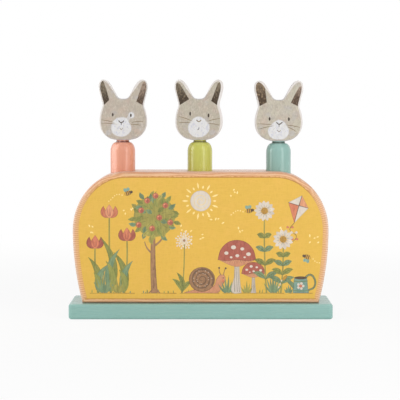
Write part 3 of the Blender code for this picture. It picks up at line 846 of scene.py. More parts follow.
class Picture:
    """Flat shapes in millimetres, as their face is looked at, each over the ones before it."""

    def __init__(self, seed):
        self.shapes = []
        self.random = random.Random(seed)

    def shape(self, ink, outline, tint=0.5, edge=0.0):
        """Adds a closed outline in one ink, with a darker edge if a width is given for it."""
        points = [Vector(point) for point in outline]
        if signed_area(points) < 0:
            points.reverse()
        if edge:
            self.shapes.append((ink, points, tint - EDGE_SHADE))
            points = inset(points, edge)
        self.shapes.append((ink, points, tint))

    def line(self, ink, points, start_width, end_width, tint=0.5):
        """Adds a stroke whose width changes evenly along its length."""
        last = len(points) - 1
        shares = [number / last for number in range(last + 1)]
        widths = [start_width + (end_width - start_width) * share for share in shares]
        self.shape(ink, ribbon([Vector(point) for point in points], widths), tint)

    def arc(self, ink, start, end, bend, start_width, end_width, tint=0.5, steps=5):
        self.line(ink, bow(start, end, bend, steps), start_width, end_width, tint)

    def dot(self, ink, centre, radius, tint=0.5, edge=0.0, squash=1.0, turn=0.0):
        outline = ellipse(centre, radius, radius * squash, turn, 8 if radius < 1 else 20)
        self.shape(ink, outline, tint, edge)

    def leaf(self, ink, base, tip, width, bend=0.0, belly=0.45, tint=0.5):
        """Adds a leaf, and on a broad one a dark edge and long streaks. Gives its midrib."""
        outline, rib = leaf(base, tip, width, bend, belly)
        broad = width > BROAD_LEAF
        self.shape(ink, outline, tint, LEAF_EDGE if broad else 0.0)
        across = Vector((rib[-1].y - rib[0].y, rib[0].x - rib[-1].x)).normalized()
        for side, shade_share in LEAF_STREAKS if broad else ():
            streak = [point + across * (width * side) for point in rib[2:-2]]
            self.line(ink, streak, 0.5, 0.3, tint + shade_share)
        return rib

    def veined_leaf(self, ink, base, tip, width, bend=0.0, veins=4):
        rib = self.leaf(ink, base, tip, width, bend, 0.5, self.random.uniform(0.1, 0.9))
        self.line("vein", rib[:-1], 0.5, 0.25)
        for number in range(1, veins + 1):
            step = 1 + number * (len(rib) - 3) // (veins + 1)
            forward = (rib[step + 1] - rib[step]).normalized()
            reach = width * 0.36 * math.sin(math.pi * number / (veins + 1)) ** 0.5
            for side in (-1, 1):
                end = rib[step] + (Vector((-forward.y, forward.x)) * side + forward * 0.9) * reach
                self.arc("vein", rib[step], end, -0.08 * side, 0.3, 0.15, 0.5, 3)


def way(angle):
    """The direction at an angle from the right, as a unit vector."""
    return Vector((math.cos(angle), math.sin(angle)))


def cover(bm, ground, verts, ink, picture, place, inks):
    """Covers the flat face inside a ring of vertices with an ink and the picture on it."""
    shapes = [(ink, ground, 0.5), *picture.shapes]
    points, outlines = [], []
    for _, outline, _ in shapes:
        outlines.append(list(range(len(points), len(points) + len(outline))))
        points += outline
    laid, _, triangles, sources, _, owners = delaunay_2d_cdt(
        points, [], outlines, TRIANGLES_INSIDE, PRINT_TOLERANCE
    )
    corners = []
    for point, source in zip(laid, sources):
        on_ring = [number for number in source if number < len(ground)]
        corners.append(verts[on_ring[0]] if on_ring else bm.verts.new(place(point)))
    tint = bm.faces.layers.float["tint"]
    for triangle, over in zip(triangles, owners):
        if 0 not in over:
            continue
        face = bm.faces.new([corners[number] for number in triangle])
        top_ink, _, shade_share = shapes[max(over)]
        face.material_index = inks.index(top_ink)
        face[tint] = shade_share


def printed_side(node, facing, edge_round):
    """A board's outline in millimetres, as its printed side is looked at, and the way to the frame."""
    low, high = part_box(node)
    face_y = low.y if facing < 0 else high.y
    middle = (low.x + high.x) / 2
    outline = [
        Vector(((middle - x) * facing, z - low.z)) / MM
        for x, z in ring(node, 1, face_y - facing * edge_round)
    ]
    if facing > 0:
        outline.reverse()

    def place(point, depth):
        """Where a point of the picture lies, at a depth under the face, kept within the solid's box."""
        x = min(max(middle - facing * point[0] * MM, low.x), high.x)
        z = min(max(low.z + point[1] * MM, low.z), high.z)
        return Vector((x, face_y - facing * depth, z))

    return smoothed(outline, 3), place


def printed_board(name, node, board, edge_round, band, paints, pictures, finishes):
    """A board with rounded rims, and inside a band on its front a picture.

    The board is its outline and its way to the frame, and the band's width in millimetres is given at
    each point of the outline. The paints are the band's and the picture's ground, which runs on over
    the rounding where the band is narrower. With a second picture the back is rounded and printed too.
    """
    outline, place = board
    count = len(outline)
    low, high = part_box(node)
    thickness = high.y - low.y
    bare = band
    band = [max(width, edge_round / MM + PRINT_MARGIN) for width in bare]
    inks = [*paints, *(ink for picture in pictures for ink, _, _ in picture.shapes)]
    inks = list(dict.fromkeys(inks))
    bm = bmesh.new()
    bm.faces.layers.float.new("tint")
    layers = [bm.loops.layers.float.new(layer) for layer in ("along", "across", "upright")]
    print_line = inset(outline, band)
    sections = [(print_line, 0, [1.0] * count)]
    for drawn, depth in rim(0, edge_round, 1):
        shares = [drawn / MM / width for width in band]
        sections.append((inset(outline, drawn / MM), depth, shares))
    if len(pictures) > 1:
        sections += [(loop, thickness - depth, shares) for loop, depth, shares in sections[::-1]]
    else:
        sections.append((outline, thickness, [0.0] * count))
    lengths = [0.0]
    for start, end in zip(outline, outline[1:] + outline[:1]):
        lengths.append(lengths[-1] + (end - start).length)
    uprights = [abs(out.x) for out, _ in outward(outline)]
    rings = [[bm.verts.new(place(point, depth)) for point in loop] for loop, depth, _ in sections]
    for (_, _, lower), (_, _, upper), *pair in zip(sections, sections[1:], rings, rings[1:]):
        for number, face in enumerate(bridge(bm, *pair)):
            after = (number + 1) % count
            reach = (lower[number] + upper[number]) / 2 * band[number]
            face.material_index = 1 if bare[number] < reach else 0
            corners = ((number, number, lower), (number + 1, after, lower))
            corners += ((number + 1, after, upper), (number, number, upper))
            for corner, (step, point, shares) in zip(face.loops, corners):
                for layer, value in zip(layers, (lengths[step], shares[point], uprights[point])):
                    corner[layer] = value

    def place_behind(point):
        return place((-point[0], point[1]), thickness)

    cover(bm, print_line, rings[0], paints[1], pictures[0], lambda point: place(point, 0), inks)
    if len(pictures) > 1:
        cover(bm, flipped(print_line), rings[-1][::-1], paints[1], pictures[1], place_behind, inks)
    else:
        bm.faces.new(rings[-1])
    return new_piece(name, bm, *[finishes[ink] for ink in inks])


def flipped(points):
    """An outline as it is seen from the other side."""
    return [Vector((-point[0], point[1])) for point in reversed(points)]


# The garden printed on the block


def placed(u, v=GROUND_HEIGHT):
    """A way to give points of a picture by how far across and up they lie from a spot of it."""
    spot = Vector((u, v))
    return lambda across, up: spot + Vector((across, up))


def draw_tuft(picture, u, height, blades, ink="sage"):
    """Grass blades that fan out from one spot of the ground."""
    for number in range(blades):
        share = number / (blades - 1) - 0.5
        reach = height * (1 - 0.9 * abs(share)) * picture.random.uniform(0.85, 1.1)
        tip = (u + share * height * 0.95, GROUND_HEIGHT + reach)
        tint = picture.random.uniform(0.0, 0.9)
        picture.leaf(ink, (u + share * 2.4, GROUND_HEIGHT), tip, 1.9, -0.12 * share, 0.3, tint)


def draw_tulip(picture, u, height, lean, ink, other):
    """A tulip with three long leaves and a cup of petals."""
    at = placed(u)
    foot, top = at(0, 0), at(lean, height - 9)
    cup = placed(*top)
    picture.arc("olive", foot, top, -lean / height / 2, 1.7, 1.3, 0.2, 10)
    for side, share, reach, tint in ((-1, 0.66, 9.5, 0.3), (1, 0.52, 8.5, 0.7), (-1, 0.38, 4.5, 0.9)):
        green = "leaf" if side < 0 else "sage"
        picture.leaf(green, foot, at(side * reach, height * share), 6.6, 0.14 * side, 0.42, tint)
    for side in (-1, 1):
        picture.leaf(other, top, cup(side * 5.2, 10.6), 6.0, side * -0.22, 0.45, 0.3)
    picture.leaf(ink, cup(0, -0.8), cup(0, 12), 7.6, 0, 0.42, 0.75)
    for side in (-1, 0, 1):
        picture.arc("red", cup(side * 0.8, 1), cup(side * 2, 8), 0, 0.45, 0.2, 0.2, 3)


def draw_tree(picture, u, height, radius):
    """An apple tree with a round crown of leaves."""
    at = placed(u)
    foot, crown = at(0, 0), at(0, height - radius)
    for toe in (-5.4, 5):
        picture.arc("brown", at(toe, 0), at(toe * 0.2, 8), toe * 0.03, 1.0, 2.6)
    for share, side in ((0.5, -1), (0.62, 1), (0.76, -1)):
        fork = foot.lerp(crown, share)
        picture.arc("brown", fork, fork + Vector((side * 9, 12)), -0.12 * side, 2.1, 0.8)
    trunk = ribbon(bow(foot, crown, 0.02), [5.8 - 0.35 * step for step in range(9)])
    picture.shape("brown", trunk, 0.5, 0.5)
    for share, side in ((0.06, -1), (0.2, 0.6), (0.3, -0.7), (0.44, 0.4)):
        mark = foot.lerp(crown, share) + Vector((side, 0))
        picture.arc("bark", mark, mark + Vector((0.3, 8)), 0.05 * side, 0.6, 0.25, 0.2, 4)
    picture.dot("olive", crown, radius * 0.86, 0.3)
    for number in reversed(range(CROWN_LEAVES)):
        angle = number * GOLDEN_ANGLE
        base = crown + way(angle) * (radius * math.sqrt((number + 0.5) / CROWN_LEAVES)) * 0.84
        tip = base + way(angle + picture.random.uniform(-0.7, 0.7)) * picture.random.uniform(6.4, 8.4)
        ink = picture.random.choice(("leaf", "leaf", "olive", "sage"))
        tint = picture.random.uniform(0.0, 1.0)
        rib = picture.leaf(ink, base, tip, 3.9, picture.random.uniform(-0.1, 0.1), 0.45, tint)
        picture.line("vein", rib[:-2], 0.35, 0.16)
    for shift in ((-11, 5), (-2, -10), (9, 9), (4, -1), (-6, 13), (13, -5), (-13, -7), (1, 17)):
        apple = placed(*(crown + Vector(shift) * radius / 20))
        picture.dot("coral", apple(0, 0), 2.7, 0.4, 0.4)
        picture.dot("red", apple(0.6, -0.6), 1.5)
        picture.dot("blush", apple(-0.9, 0.9), 0.7, 0.9)
        picture.arc("bark", apple(0, 2.2), apple(0.7, 4), 0.1, 0.6, 0.3, 0.2, 3)


def draw_sun(picture, u, v, radius):
    """A pale sun with a coil in it and uneven rays."""
    centre = Vector((u, v))
    for number in range(18):
        aim = way(2 * math.pi * number / 18)
        reach = radius * (1.8 if number % 2 else 1.5)
        picture.leaf("straw", centre + aim * radius * 1.16, centre + aim * reach, 1.6, 0, 0.5, 0.8)
    picture.dot("cream", centre, radius, 0.6, 0.35)
    coil = [centre + way(0.4 * step) * radius * (0.12 + 0.022 * step) for step in range(33)]
    picture.line("straw", coil, 0.7, 0.4, 0.3)


def draw_kite(picture, u, v):
    """A kite with a bowed tail."""
    at = placed(u, v)
    top, foot, left, right, centre = (
        at(*point) for point in ((0, 0), (-7, -25), (-12.4, -6.4), (6, -11.6), (-3, -9.4))
    )
    bends = ((0, 0), (-4, -6), (2, -12), (-5, -20))
    tail = curve([foot + Vector(bend) for bend in bends], False, 5)
    picture.line("outline", tail, 0.5, 0.4)
    for step, ink in ((4, "coral"), (8, "cream"), (12, "coral")):
        for side in (-1, 1):
            picture.leaf(ink, tail[step], tail[step] + Vector((side * 3.4, 1.2)), 2.4, 0, 0.7)
    for ink, corners in (
        ("cream", (top, left, centre)), ("blush", (top, centre, right)),
        ("coral", (left, foot, centre)), ("cream", (centre, foot, right)),
    ):
        picture.shape(ink, corners, 0.6, 0.35)
    picture.arc("outline", left, right, 0, 0.4, 0.4)
    picture.arc("outline", top, foot, 0, 0.4, 0.4)


def draw_snail(picture, u):
    """A snail that creeps to the right with its shell coiled on its back."""
    at = placed(u)
    body = (
        (-19, 0), (-10, 2.8), (2, 4.6), (9, 6.6), (11.4, 13), (15, 16.8),
        (19, 15.8), (19.4, 11.8), (16.4, 6), (13.6, 0.6), (6, 0),
    )
    picture.shape("blush", [at(*point) for point in curve(body)], 0.2, 0.45)
    for number in range(7):
        spot = at(-12 + 4 * number, 1.2)
        picture.arc("brown", spot, spot + Vector((1.6, 0.6)), 0.1, 0.3, 0.2, 0.5, 3)
    for start, end in ((at(15.4, 16.4), at(13.8, 23)), (at(18, 16), at(19.8, 22.6))):
        picture.arc("brown", start, end, 0.08, 0.9, 0.6, 0.2)
        picture.dot("outline", end, 0.9)
    picture.dot("coral", at(17.2, 11.2), 1.3, 0.7)
    picture.dot("outline", at(17.6, 13.8), 0.55)
    picture.arc("outline", at(17.4, 9.9), at(19, 10.8), -0.2, 0.35, 0.25)
    shell = at(-1.8, 12.4)
    picture.dot("brown", shell, 12, 0.2, 0.6, 0.95)
    spiral = [shell + way(0.36 * step - 0.6) * 10.6 * (1 - step / 56) for step in range(52)]
    picture.line("bark", spiral, 1.7, 0.6, 0.2)
    for step in range(2, 34):
        aim = spiral[step] - shell
        start = spiral[step] - aim * 0.07
        picture.arc("cream" if step % 3 else "bark", start, start - aim * 0.12, 0, 0.5, 0.3, 0.1, 2)


def draw_toadstool(picture, u, height, width):
    """A toadstool with gills and a spotted cap."""
    foot = Vector((u, GROUND_HEIGHT))
    cap = foot + Vector((0, height * 0.62))
    half = width / 2
    edge = [(-1, 0.11, 0), (-1, 0.075, 0.3), (-1, 0.06, 0.64), (1, 0.06, 0.64), (1, 0.075, 0.3)]
    edge.append((1, 0.12, 0))
    stem = [foot + Vector((side * width * reach, height * rise)) for side, reach, rise in edge]
    picture.shape("cream", curve(stem), 0.2, 0.4)
    for side in (-0.4, 0.1, 0.5):
        start = foot + Vector((side * width * 0.14, 1))
        picture.arc("soft_line", start, cap + Vector((side * width * 0.07, -1)), 0.02, 0.4, 0.25)
    gills = [(-half * 0.9, 0), (0, -height * 0.12), (half * 0.9, 0), (0, height * 0.05)]
    picture.shape("blush", [cap + point for point in curve(gills, True, 6)], 0.2, 0.3)
    for number in range(-6, 7):
        end = cap + Vector((number * half * 0.13, -height * 0.065 * (1 - abs(number) / 8)))
        picture.arc("brown", cap + Vector((number * half * 0.07, 1)), end, 0, 0.4, 0.25, 0.5, 2)
    quarter = ((1, 0.01), (0.86, 0.2), (0.46, 0.35))
    dome = [(-share * half, rise * height) for share, rise in quarter] + [(0, 0.39 * height)]
    dome += [(share * half, rise * height) for share, rise in reversed(quarter)]
    dome += [(0.5 * half, -0.4), (0, 0.6), (-0.5 * half, -0.4)]
    picture.shape("red", curve([cap + Vector(point) for point in dome]), 0.5, 0.5)
    for share_u, share_v, size in (
        (-0.55, 0.14, 0.11), (-0.18, 0.25, 0.13), (0.28, 0.22, 0.1), (0.6, 0.12, 0.12),
        (0.02, 0.09, 0.1), (-0.3, 0.06, 0.07), (0.4, 0.06, 0.06),
    ):
        spot = cap + Vector((share_u * half, share_v * height))
        picture.dot("cream", spot, size * half, 0.6, 0.0, 0.8)


def draw_daisy(picture, u, height, lean, petals):
    """A tall daisy with leaves in pairs up its stem."""
    at = placed(u)
    top = at(lean, height - 9)
    stem = bow(at(0, 0), top, -lean / height / 2, 12)
    picture.line("olive", stem, 1.5, 1.1, 0.2)
    for number, step in enumerate((2, 4, 6, 8)):
        for side in (-1, 1):
            length = 11.5 - number * 1.6
            tip = stem[step] + Vector((side * length, length * 0.55))
            picture.veined_leaf("leaf" if number % 2 else "sage", stem[step], tip, 5.0, 0.12 * side, 2)
    for number in range(petals):
        aim = way(2 * math.pi * number / petals + 0.2)
        tint = picture.random.uniform(0.1, 0.8)
        picture.leaf("cream", top + aim * 1.4, top + aim * 9.4, 3.5, 0, 0.65, tint)
        picture.arc("soft_line", top + aim * 2.4, top + aim * 6, 0, 0.3, 0.15, 0.8, 2)
    picture.dot("ochre", top, 3.0, 0.1, 0.35)
    for number in range(12):
        picture.dot("bark", top + way(number * GOLDEN_ANGLE) * 0.7 * math.sqrt(number), 0.3)


def draw_dandelion(picture, u, height, lean):
    """A dandelion clock on a stem with three leaves."""
    at = placed(u)
    foot, top = at(0, 0), at(lean, height - 8)
    picture.arc("olive", foot, top, -lean / height / 2, 1.2, 0.9, 0.2, 10)
    for side, reach, rise in ((-1, 9, 13), (1, 10, 11), (-1, 5, 19)):
        picture.veined_leaf("leaf", foot, at(side * reach, rise), 4.4, 0.15 * side, 3)
    for number in range(34):
        aim = way(number * GOLDEN_ANGLE)
        reach = 8.2 * math.sqrt((number + 2) / 36)
        picture.arc("cream", top + aim * 1.2, top + aim * reach, 0, 0.25, 0.5, 0.8, 2)
        picture.dot("cream", top + aim * reach, 0.75, 0.9)
    picture.dot("brown", top, 1.2)


def draw_can(picture, u):
    """A watering can that faces left, with a flower on it."""
    at = placed(u)
    grip = curve([at(*bend) for bend in ((3, 13), (9, 16.8), (13, 12), (12, 5), (7, 2.6))], False)
    picture.line("outline", grip, 1.9, 1.6, 0.2)
    picture.line("sage", grip, 1.2, 1.0, 0.3)
    picture.shape("sage", (at(-5.6, 2.6), at(-14.4, 12.4), at(-12.8, 14.2), at(-5.6, 8.8)), 0.2, 0.4)
    picture.shape("teal", (at(-7.2, 0), at(-5.8, 14), at(5.8, 14), at(7.2, 0)), 0.4, 0.5)
    picture.dot("outline", at(0, 13.9), 5.8, 0.3, 0.0, 0.24)
    for height in (2.2, 11):
        picture.arc("sage", at(-6.6, height), at(6.6, height), -0.03, 0.9, 0.9, 0.0)
    picture.dot("ochre", at(-14.4, 13.8), 3.2, 0.2, 0.3, 0.4, 0.86)
    for step in range(3):
        drop = at(-17.6 - 1.3 * step, 10.4 - 3 * step)
        picture.leaf("cream", drop, drop + Vector((0.7, 2.2)), 1.1, 0, 0.35)
    for number in range(5):
        picture.dot("cream", at(0, 6.4) + way(2 * math.pi * number / 5) * 2.4, 1.2)
    picture.dot("coral", at(0, 6.4), 1.4, 0.3)


def draw_bee(picture, u, v, turn, trail):
    """A bee with two wings and a dotted trail behind it."""
    spin = Matrix.Rotation(turn, 2)

    def at(along, up):
        return Vector((u, v)) + spin @ Vector((along, up))

    for reach in (1.8, -2.6):
        picture.leaf("teal", at(0, 0.9), at(reach, 5.2), 3.2, 0, 0.6, 0.9)
    picture.dot("ochre", at(0, 0), 3.5, 0.9, 0.3, 0.62, turn)
    for shift in (-1.3, 0.3, 1.8):
        reach = 2.0 * math.sqrt(1 - (shift / 3.5) ** 2)
        picture.line("outline", [at(shift, side * reach) for side in (-1, 0, 1)], 0.8, 0.8)
    picture.dot("outline", at(3.3, 0.2), 1.3, 0.4)
    for number in range(trail):
        picture.dot("straw", at(-5.6 - 2.2 * number, 1.8 * math.sin(number * 0.75)), 0.6, 0.7)


def draw_scatter(picture, drifts):
    """Small petals that drift over the field, a few round each given place."""
    for u, v in drifts:
        for _ in range(picture.random.randint(3, 5)):
            start = Vector((u + picture.random.uniform(-5, 5), v + picture.random.uniform(-4, 4)))
            tip = start + way(picture.random.uniform(0, math.pi)) * picture.random.uniform(1.8, 3.2)
            picture.leaf("straw", start, tip, 1.3, 0, 0.5, 0.9)


def draw_ground(picture, spans):
    """A broken line of earth with short grass along it."""
    level = GROUND_HEIGHT - 0.3
    for start, end in spans:
        picture.arc("ochre", (start, level), (end, level), 0.004, 0.6, 1.0, 0.2)
        u = start + 2
        while u < end - 2:
            lean, height = picture.random.uniform(-0.8, 0.8), picture.random.uniform(1.4, 3.6)
            ink = picture.random.choice(("leaf", "olive", "sage"))
            picture.leaf(ink, (u, GROUND_HEIGHT - 0.4), (u + lean, GROUND_HEIGHT + height), 1.0)
            u += picture.random.uniform(1.6, 5)


# The two gardens, in the order in which their motifs are drawn: each motif by the function that
# draws it, and what that is given
FRONT_DRIFTS = (
    (-101, 66), (-66, 84), (-14, 68), (-4, 60), (14, 76), (32, 100), (38, 66), (76, 64), (101, 58),
)
FRONT_GARDEN = (
    (draw_scatter, FRONT_DRIFTS),
    (draw_ground, ((-101, -60), (-54, -22), (-19, 17), (20, 76), (80, 102))),
    (draw_sun, 0, 93, 9.5),
    (draw_kite, 92, 98),
    (draw_tree, -42, 92, 22),
    (draw_tulip, -93, 50, -3, "coral", "red"),
    (draw_tulip, -70, 57, 3, "coral", "red"),
    (draw_tulip, -82, 78, -1, "blush", "coral"),
    (draw_tuft, -88, 20, 7),
    (draw_tuft, -75, 17, 6, "olive"),
    (draw_dandelion, -17, 56, 2),
    (draw_snail, 3),
    (draw_tuft, 24, 17, 6),
    (draw_toadstool, 48, 28, 22),
    (draw_toadstool, 33, 48, 35),
    (draw_tuft, 42, 11, 5, "olive"),
    (draw_daisy, 60, 84, -2, 13),
    (draw_daisy, 73, 58, 2, 12),
    (draw_tuft, 66, 18, 7),
    (draw_can, 91),
    (draw_tuft, 80, 8, 5),
    (draw_bee, -66, 100, 0.3, 7),
    (draw_bee, 44, 84, 0.15, 6),
    (draw_bee, 97, 42, 2.8, 4),
)
BACK_GARDEN = (
    (draw_scatter, ((-100, 68), (-60, 80), (-20, 70), (16, 84), (60, 96), (100, 60))),
    (draw_ground, ((-101, -60), (-54, -22), (-19, 17), (20, 60), (66, 102))),
    (draw_sun, 40, 90, 9.5),
    (draw_tulip, -90, 52, 2, "coral", "red"),
    (draw_tulip, -76, 70, -2, "coral", "red"),
    (draw_tulip, -8, 62, 2, "coral", "red"),
    (draw_tulip, 6, 48, -2, "coral", "red"),
    (draw_daisy, -40, 84, 3, 13),
    (draw_daisy, 72, 78, -3, 13),
    (draw_daisy, 88, 56, 2, 12),
    (draw_toadstool, 38, 42, 31),
    (draw_tuft, -83, 18, 6),
    (draw_tuft, -48, 14, 6),
    (draw_tuft, -1, 17, 6),
    (draw_tuft, 24, 12, 6),
    (draw_tuft, 80, 18, 6),
    (draw_bee, -8, 98, 0.2, 7),
)


def draw_garden(seed, motifs):
    picture = Picture(seed)
    for draw, *given in motifs:
        draw(picture, *given)
    return picture


# The rabbits' faces, in millimetres from the middle of the chin. The blank rim is as wide as "rim",
# more by "shift" on one side and less on the other, and more by "inner_rim" between the ears. Each
# ear has the inner edge of its patch, from the foot up, and each patch of fur its place, radius and
# tint.
FACES = {
    "left": {
        "rim": 0.95,
        "shift": 0.5,
        "inner_rim": 0.7,
        "muzzle": (
            (-6.0, 19.9), (-9.0, 17.2), (-10.3, 14.6), (-11.0, 11.4), (-10.4, 8.3), (-8.4, 5.3),
            (-4.8, 3.6), (-1.1, 3.2), (2.6, 4.0), (5.9, 6.6), (7.5, 9.9), (7.2, 13.2),
            (5.5, 16.1), (4.6, 18.7), (2.4, 20.4), (-1.1, 21.0),
        ),
        "eyes": ((-9.4, 23.3), (7.2, 22.7)),
        "eye_size": (0.85, 1.6),
        "eye_patch": (7.7, 22.8, 2.8),
        "nose": ((-4.1, 17.9), (-1.7, 15.9), (0.9, 17.8)),
        "nose_ink": "face_line",
        "stem": ((-1.7, 15.9), (-1.5, 13.9)),
        "mouth": ((-2.9, 11.1), (-1.8, 9.7), (-0.2, 11.0)),
        "mouth_ink": "soft_line",
        "whiskers": (
            ((-19.5, 18.5), (-8.5, 16.1)), ((-20.1, 15.4), (-7, 14.7)),
            ((18.8, 17), (7.7, 16.3)), ((16.5, 13.6), (7.3, 14.3)),
        ),
        "ears": (((-12.6, 36.8), (-15.1, 46.2), (-17.9, 53.6)), ((12.3, 35.2), (14.6, 42), (17.9, 52.4))),
        "ear_inks": ("dark_ear", "red_ear"),
        "patches": ((-14, 17, 5, 0.9), (13, 8, 5, 0.9), (-13, 7, 5, 0.1), (0, 27, 5, 0.75), (4, 1.6, 4, 0.2)),
    },
    "middle": {
        "rim": 1.7,
        "shift": -0.6,
        "inner_rim": 0.1,
        "muzzle": (
            (-0.4, 21.6), (-4.6, 20.2), (-6.9, 18), (-9.4, 14.4), (-10.1, 11), (-9.3, 7.4),
            (-6.9, 4.6), (-3.6, 2.9), (-0.4, 2.6), (3.0, 3.0), (6.2, 4.8), (8.7, 7.8),
            (9.8, 11.4), (9.0, 14.8), (6.1, 18), (3.8, 20.2),
        ),
        "eyes": ((-8.1, 24.2), (8.7, 22.6)),
        "eye_size": (0.85, 1.85),
        "nose": ((-2.4, 18.4), (-0.2, 16.9), (2, 18.4)),
        "nose_ink": "soft_line",
        "mouth": ((-0.1, 11.6), (-0.3, 10), (-1.5, 9.6)),
        "mouth_ink": "face_line",
        "whiskers": (
            ((-18.5, 21.6), (-6.7, 17.6)), ((-18.8, 15.8), (-7.8, 15.9)),
            ((19.2, 19.8), (7.8, 17.2)), ((18.8, 13.6), (8.6, 15.4)),
        ),
        "ears": (((-9.1, 37.4), (-13.0, 44), (-17.6, 51.4)), ((11.1, 35.9), (14.0, 43.2), (17.1, 51.8))),
        "ear_inks": ("dark_ear", "dark_ear"),
        "patches": ((-12, 6, 5, 0.1), (12, 7, 5, 0.2), (-13, 20, 4, 0.7), (5, 29, 6, 0.65)),
    },
    "right": {
        "rim": 1.3,
        "shift": -0.2,
        "inner_rim": 0.6,
        "muzzle": (
            (0.3, 19.6), (-4.0, 17.8), (-7.2, 14.9), (-9.4, 11.6), (-10, 8.6), (-8.5, 4.8), (-4.8, 2.0),
            (0.3, 1.6), (4.7, 2.0), (8.4, 5.5), (9.3, 8.8), (8.6, 12.2), (6.4, 16), (4.0, 18.2),
        ),
        "eyes": ((-8.5, 20.5), (9.2, 20.2)),
        "eye_size": (0.9, 1.7),
        "nose": ((-2.3, 17.4), (0.3, 15.4), (3.2, 17.4)),
        "nose_ink": "face_line",
        "stem": ((0.3, 15.4), (0.1, 13.2)),
        "mouth": ((-1.5, 10.3), (0.1, 8.6), (1.8, 10)),
        "mouth_ink": "soft_line",
        "whiskers": (
            ((-20.3, 15.75), (-5.9, 14.7)), ((-18.4, 11), (-6.3, 13.6)),
            ((19.7, 12.5), (6.5, 14.7)), ((16, 8.8), (7.6, 13.2)),
        ),
        "ears": (
            (
                (-11.1, 35.5), (-12.2, 44.6), (-12.97, 49.06), (-14.4, 51.0),
                (-15.66, 52.4), (-16.93, 53.2), (-18.2, 53.95),
            ),
            ((11.0, 35.2), (14.6, 42.6), (18.4, 49.2)),
        ),
        "ear_inks": ("brown_ear", "red_ear"),
        "patches": ((-14, 9, 5, 0.85), (12, 7, 5, 0.2), (-15, 19, 4, 0.75), (6, 27, 6, 0.4)),
    },
}
# Hairs on a face and on a nape, and the patches of fur on a nape
FACE_HAIRS = 110
NAPE_HAIRS = 130
NAPE_PATCHES = ((-12, 12, 5, 0.2), (11, 16, 6, 0.8))
# Where the ears' dark patches and the ears themselves begin
EAR_PATCH_FOOT = 31.9
EAR_FOOT = 36
# The blank rim narrows to nothing towards the crown, by distance from the middle, and towards the
# chin, by how far the outline faces down
CROWN_SPAN = (5.0, 10.0)
CHIN_SPAN = (-0.9, -0.35)
# How far a pale patch's two layers of hairs stay inside its outline, and their hairs' reach from it
SOFT_LAYERS = (("hair_pale", -0.1, 0.1, 0.7), ("muzzle", 0.5, -0.4, 0.3))


def inside(point, outline):
    """Whether a point lies inside an outline."""
    crossings = 0
    for start, end in zip(outline, outline[1:] + outline[:1]):
        if (start.y > point.y) != (end.y > point.y):
            share = (point.y - start.y) / (end.y - start.y)
            crossings += start.x + share * (end.x - start.x) > point.x
    return crossings % 2 == 1


def draw_fur(picture, print_line, ink, patches, count):
    """Tinted patches, and over them short hair strokes that fall away from the middle of the head."""
    inner = inset(print_line, 0.3)
    for u, v, radius, tint in patches:
        for share in (1.0, 0.6):
            outline = ellipse((u, v), radius * share, radius * share * 0.8, 0.6)
            if all(inside(point, inner) for point in outline):
                picture.shape(ink, outline, 0.5 + (tint - 0.5) * (1.6 - share))
    width = max(point.x for point in inner)
    height = max(point.y for point in inner)
    drawn = 0
    while drawn < count:
        spot = Vector((picture.random.uniform(-width, width), picture.random.uniform(2, height)))
        aim = (spot - Vector((0, 14))).normalized() + Vector((0, 0.7))
        end = spot + aim.normalized() * picture.random.uniform(1.2, 2.6)
        bend = picture.random.uniform(-0.1, 0.1)
        hair = picture.random.choice(("hair_dark", "hair_light"))
        if inside(spot, inner) and inside(end, inner):
            picture.leaf(hair, spot, end, 0.36, bend, 0.4, picture.random.uniform(0.2, 0.8))
            drawn += 1


def ear_edge(print_line, side, top):
    """The outer edge of the print on one ear, from a height down to where its patch ends."""
    count = len(print_line)
    on_side = [number for number in range(count) if print_line[number].x * side > 0]
    number = max(on_side, key=lambda number: print_line[number].y)
    edge = []
    while print_line[number % count].y > EAR_PATCH_FOOT:
        if print_line[number % count].y < top:
            edge.append(print_line[number % count])
        number -= side
    return edge


def draw_ear_patches(picture, print_line, inks, ears):
    for side, ink, inner in zip((-1, 1), inks, ears):
        edge = ear_edge(print_line, side, inner[-1][1] + 1.5)
        picture.shape(ink, edge + curve(inner, False))


def draw_soft_patch(picture, outline):
    """A pale patch of fur whose edge is feathered with short hairs."""
    for ink, drawn_in, low, high in SOFT_LAYERS:
        for point, (out, _) in zip(outline, outward(outline)):
            lean = Vector((-out.y, out.x)) * picture.random.uniform(-0.5, 0.5)
            tip = point + out * picture.random.uniform(low, high) + lean
            picture.leaf(ink, point - out * 1.2, tip, 0.9, 0, 0.4)
        picture.shape(ink, inset(outline, drawn_in))


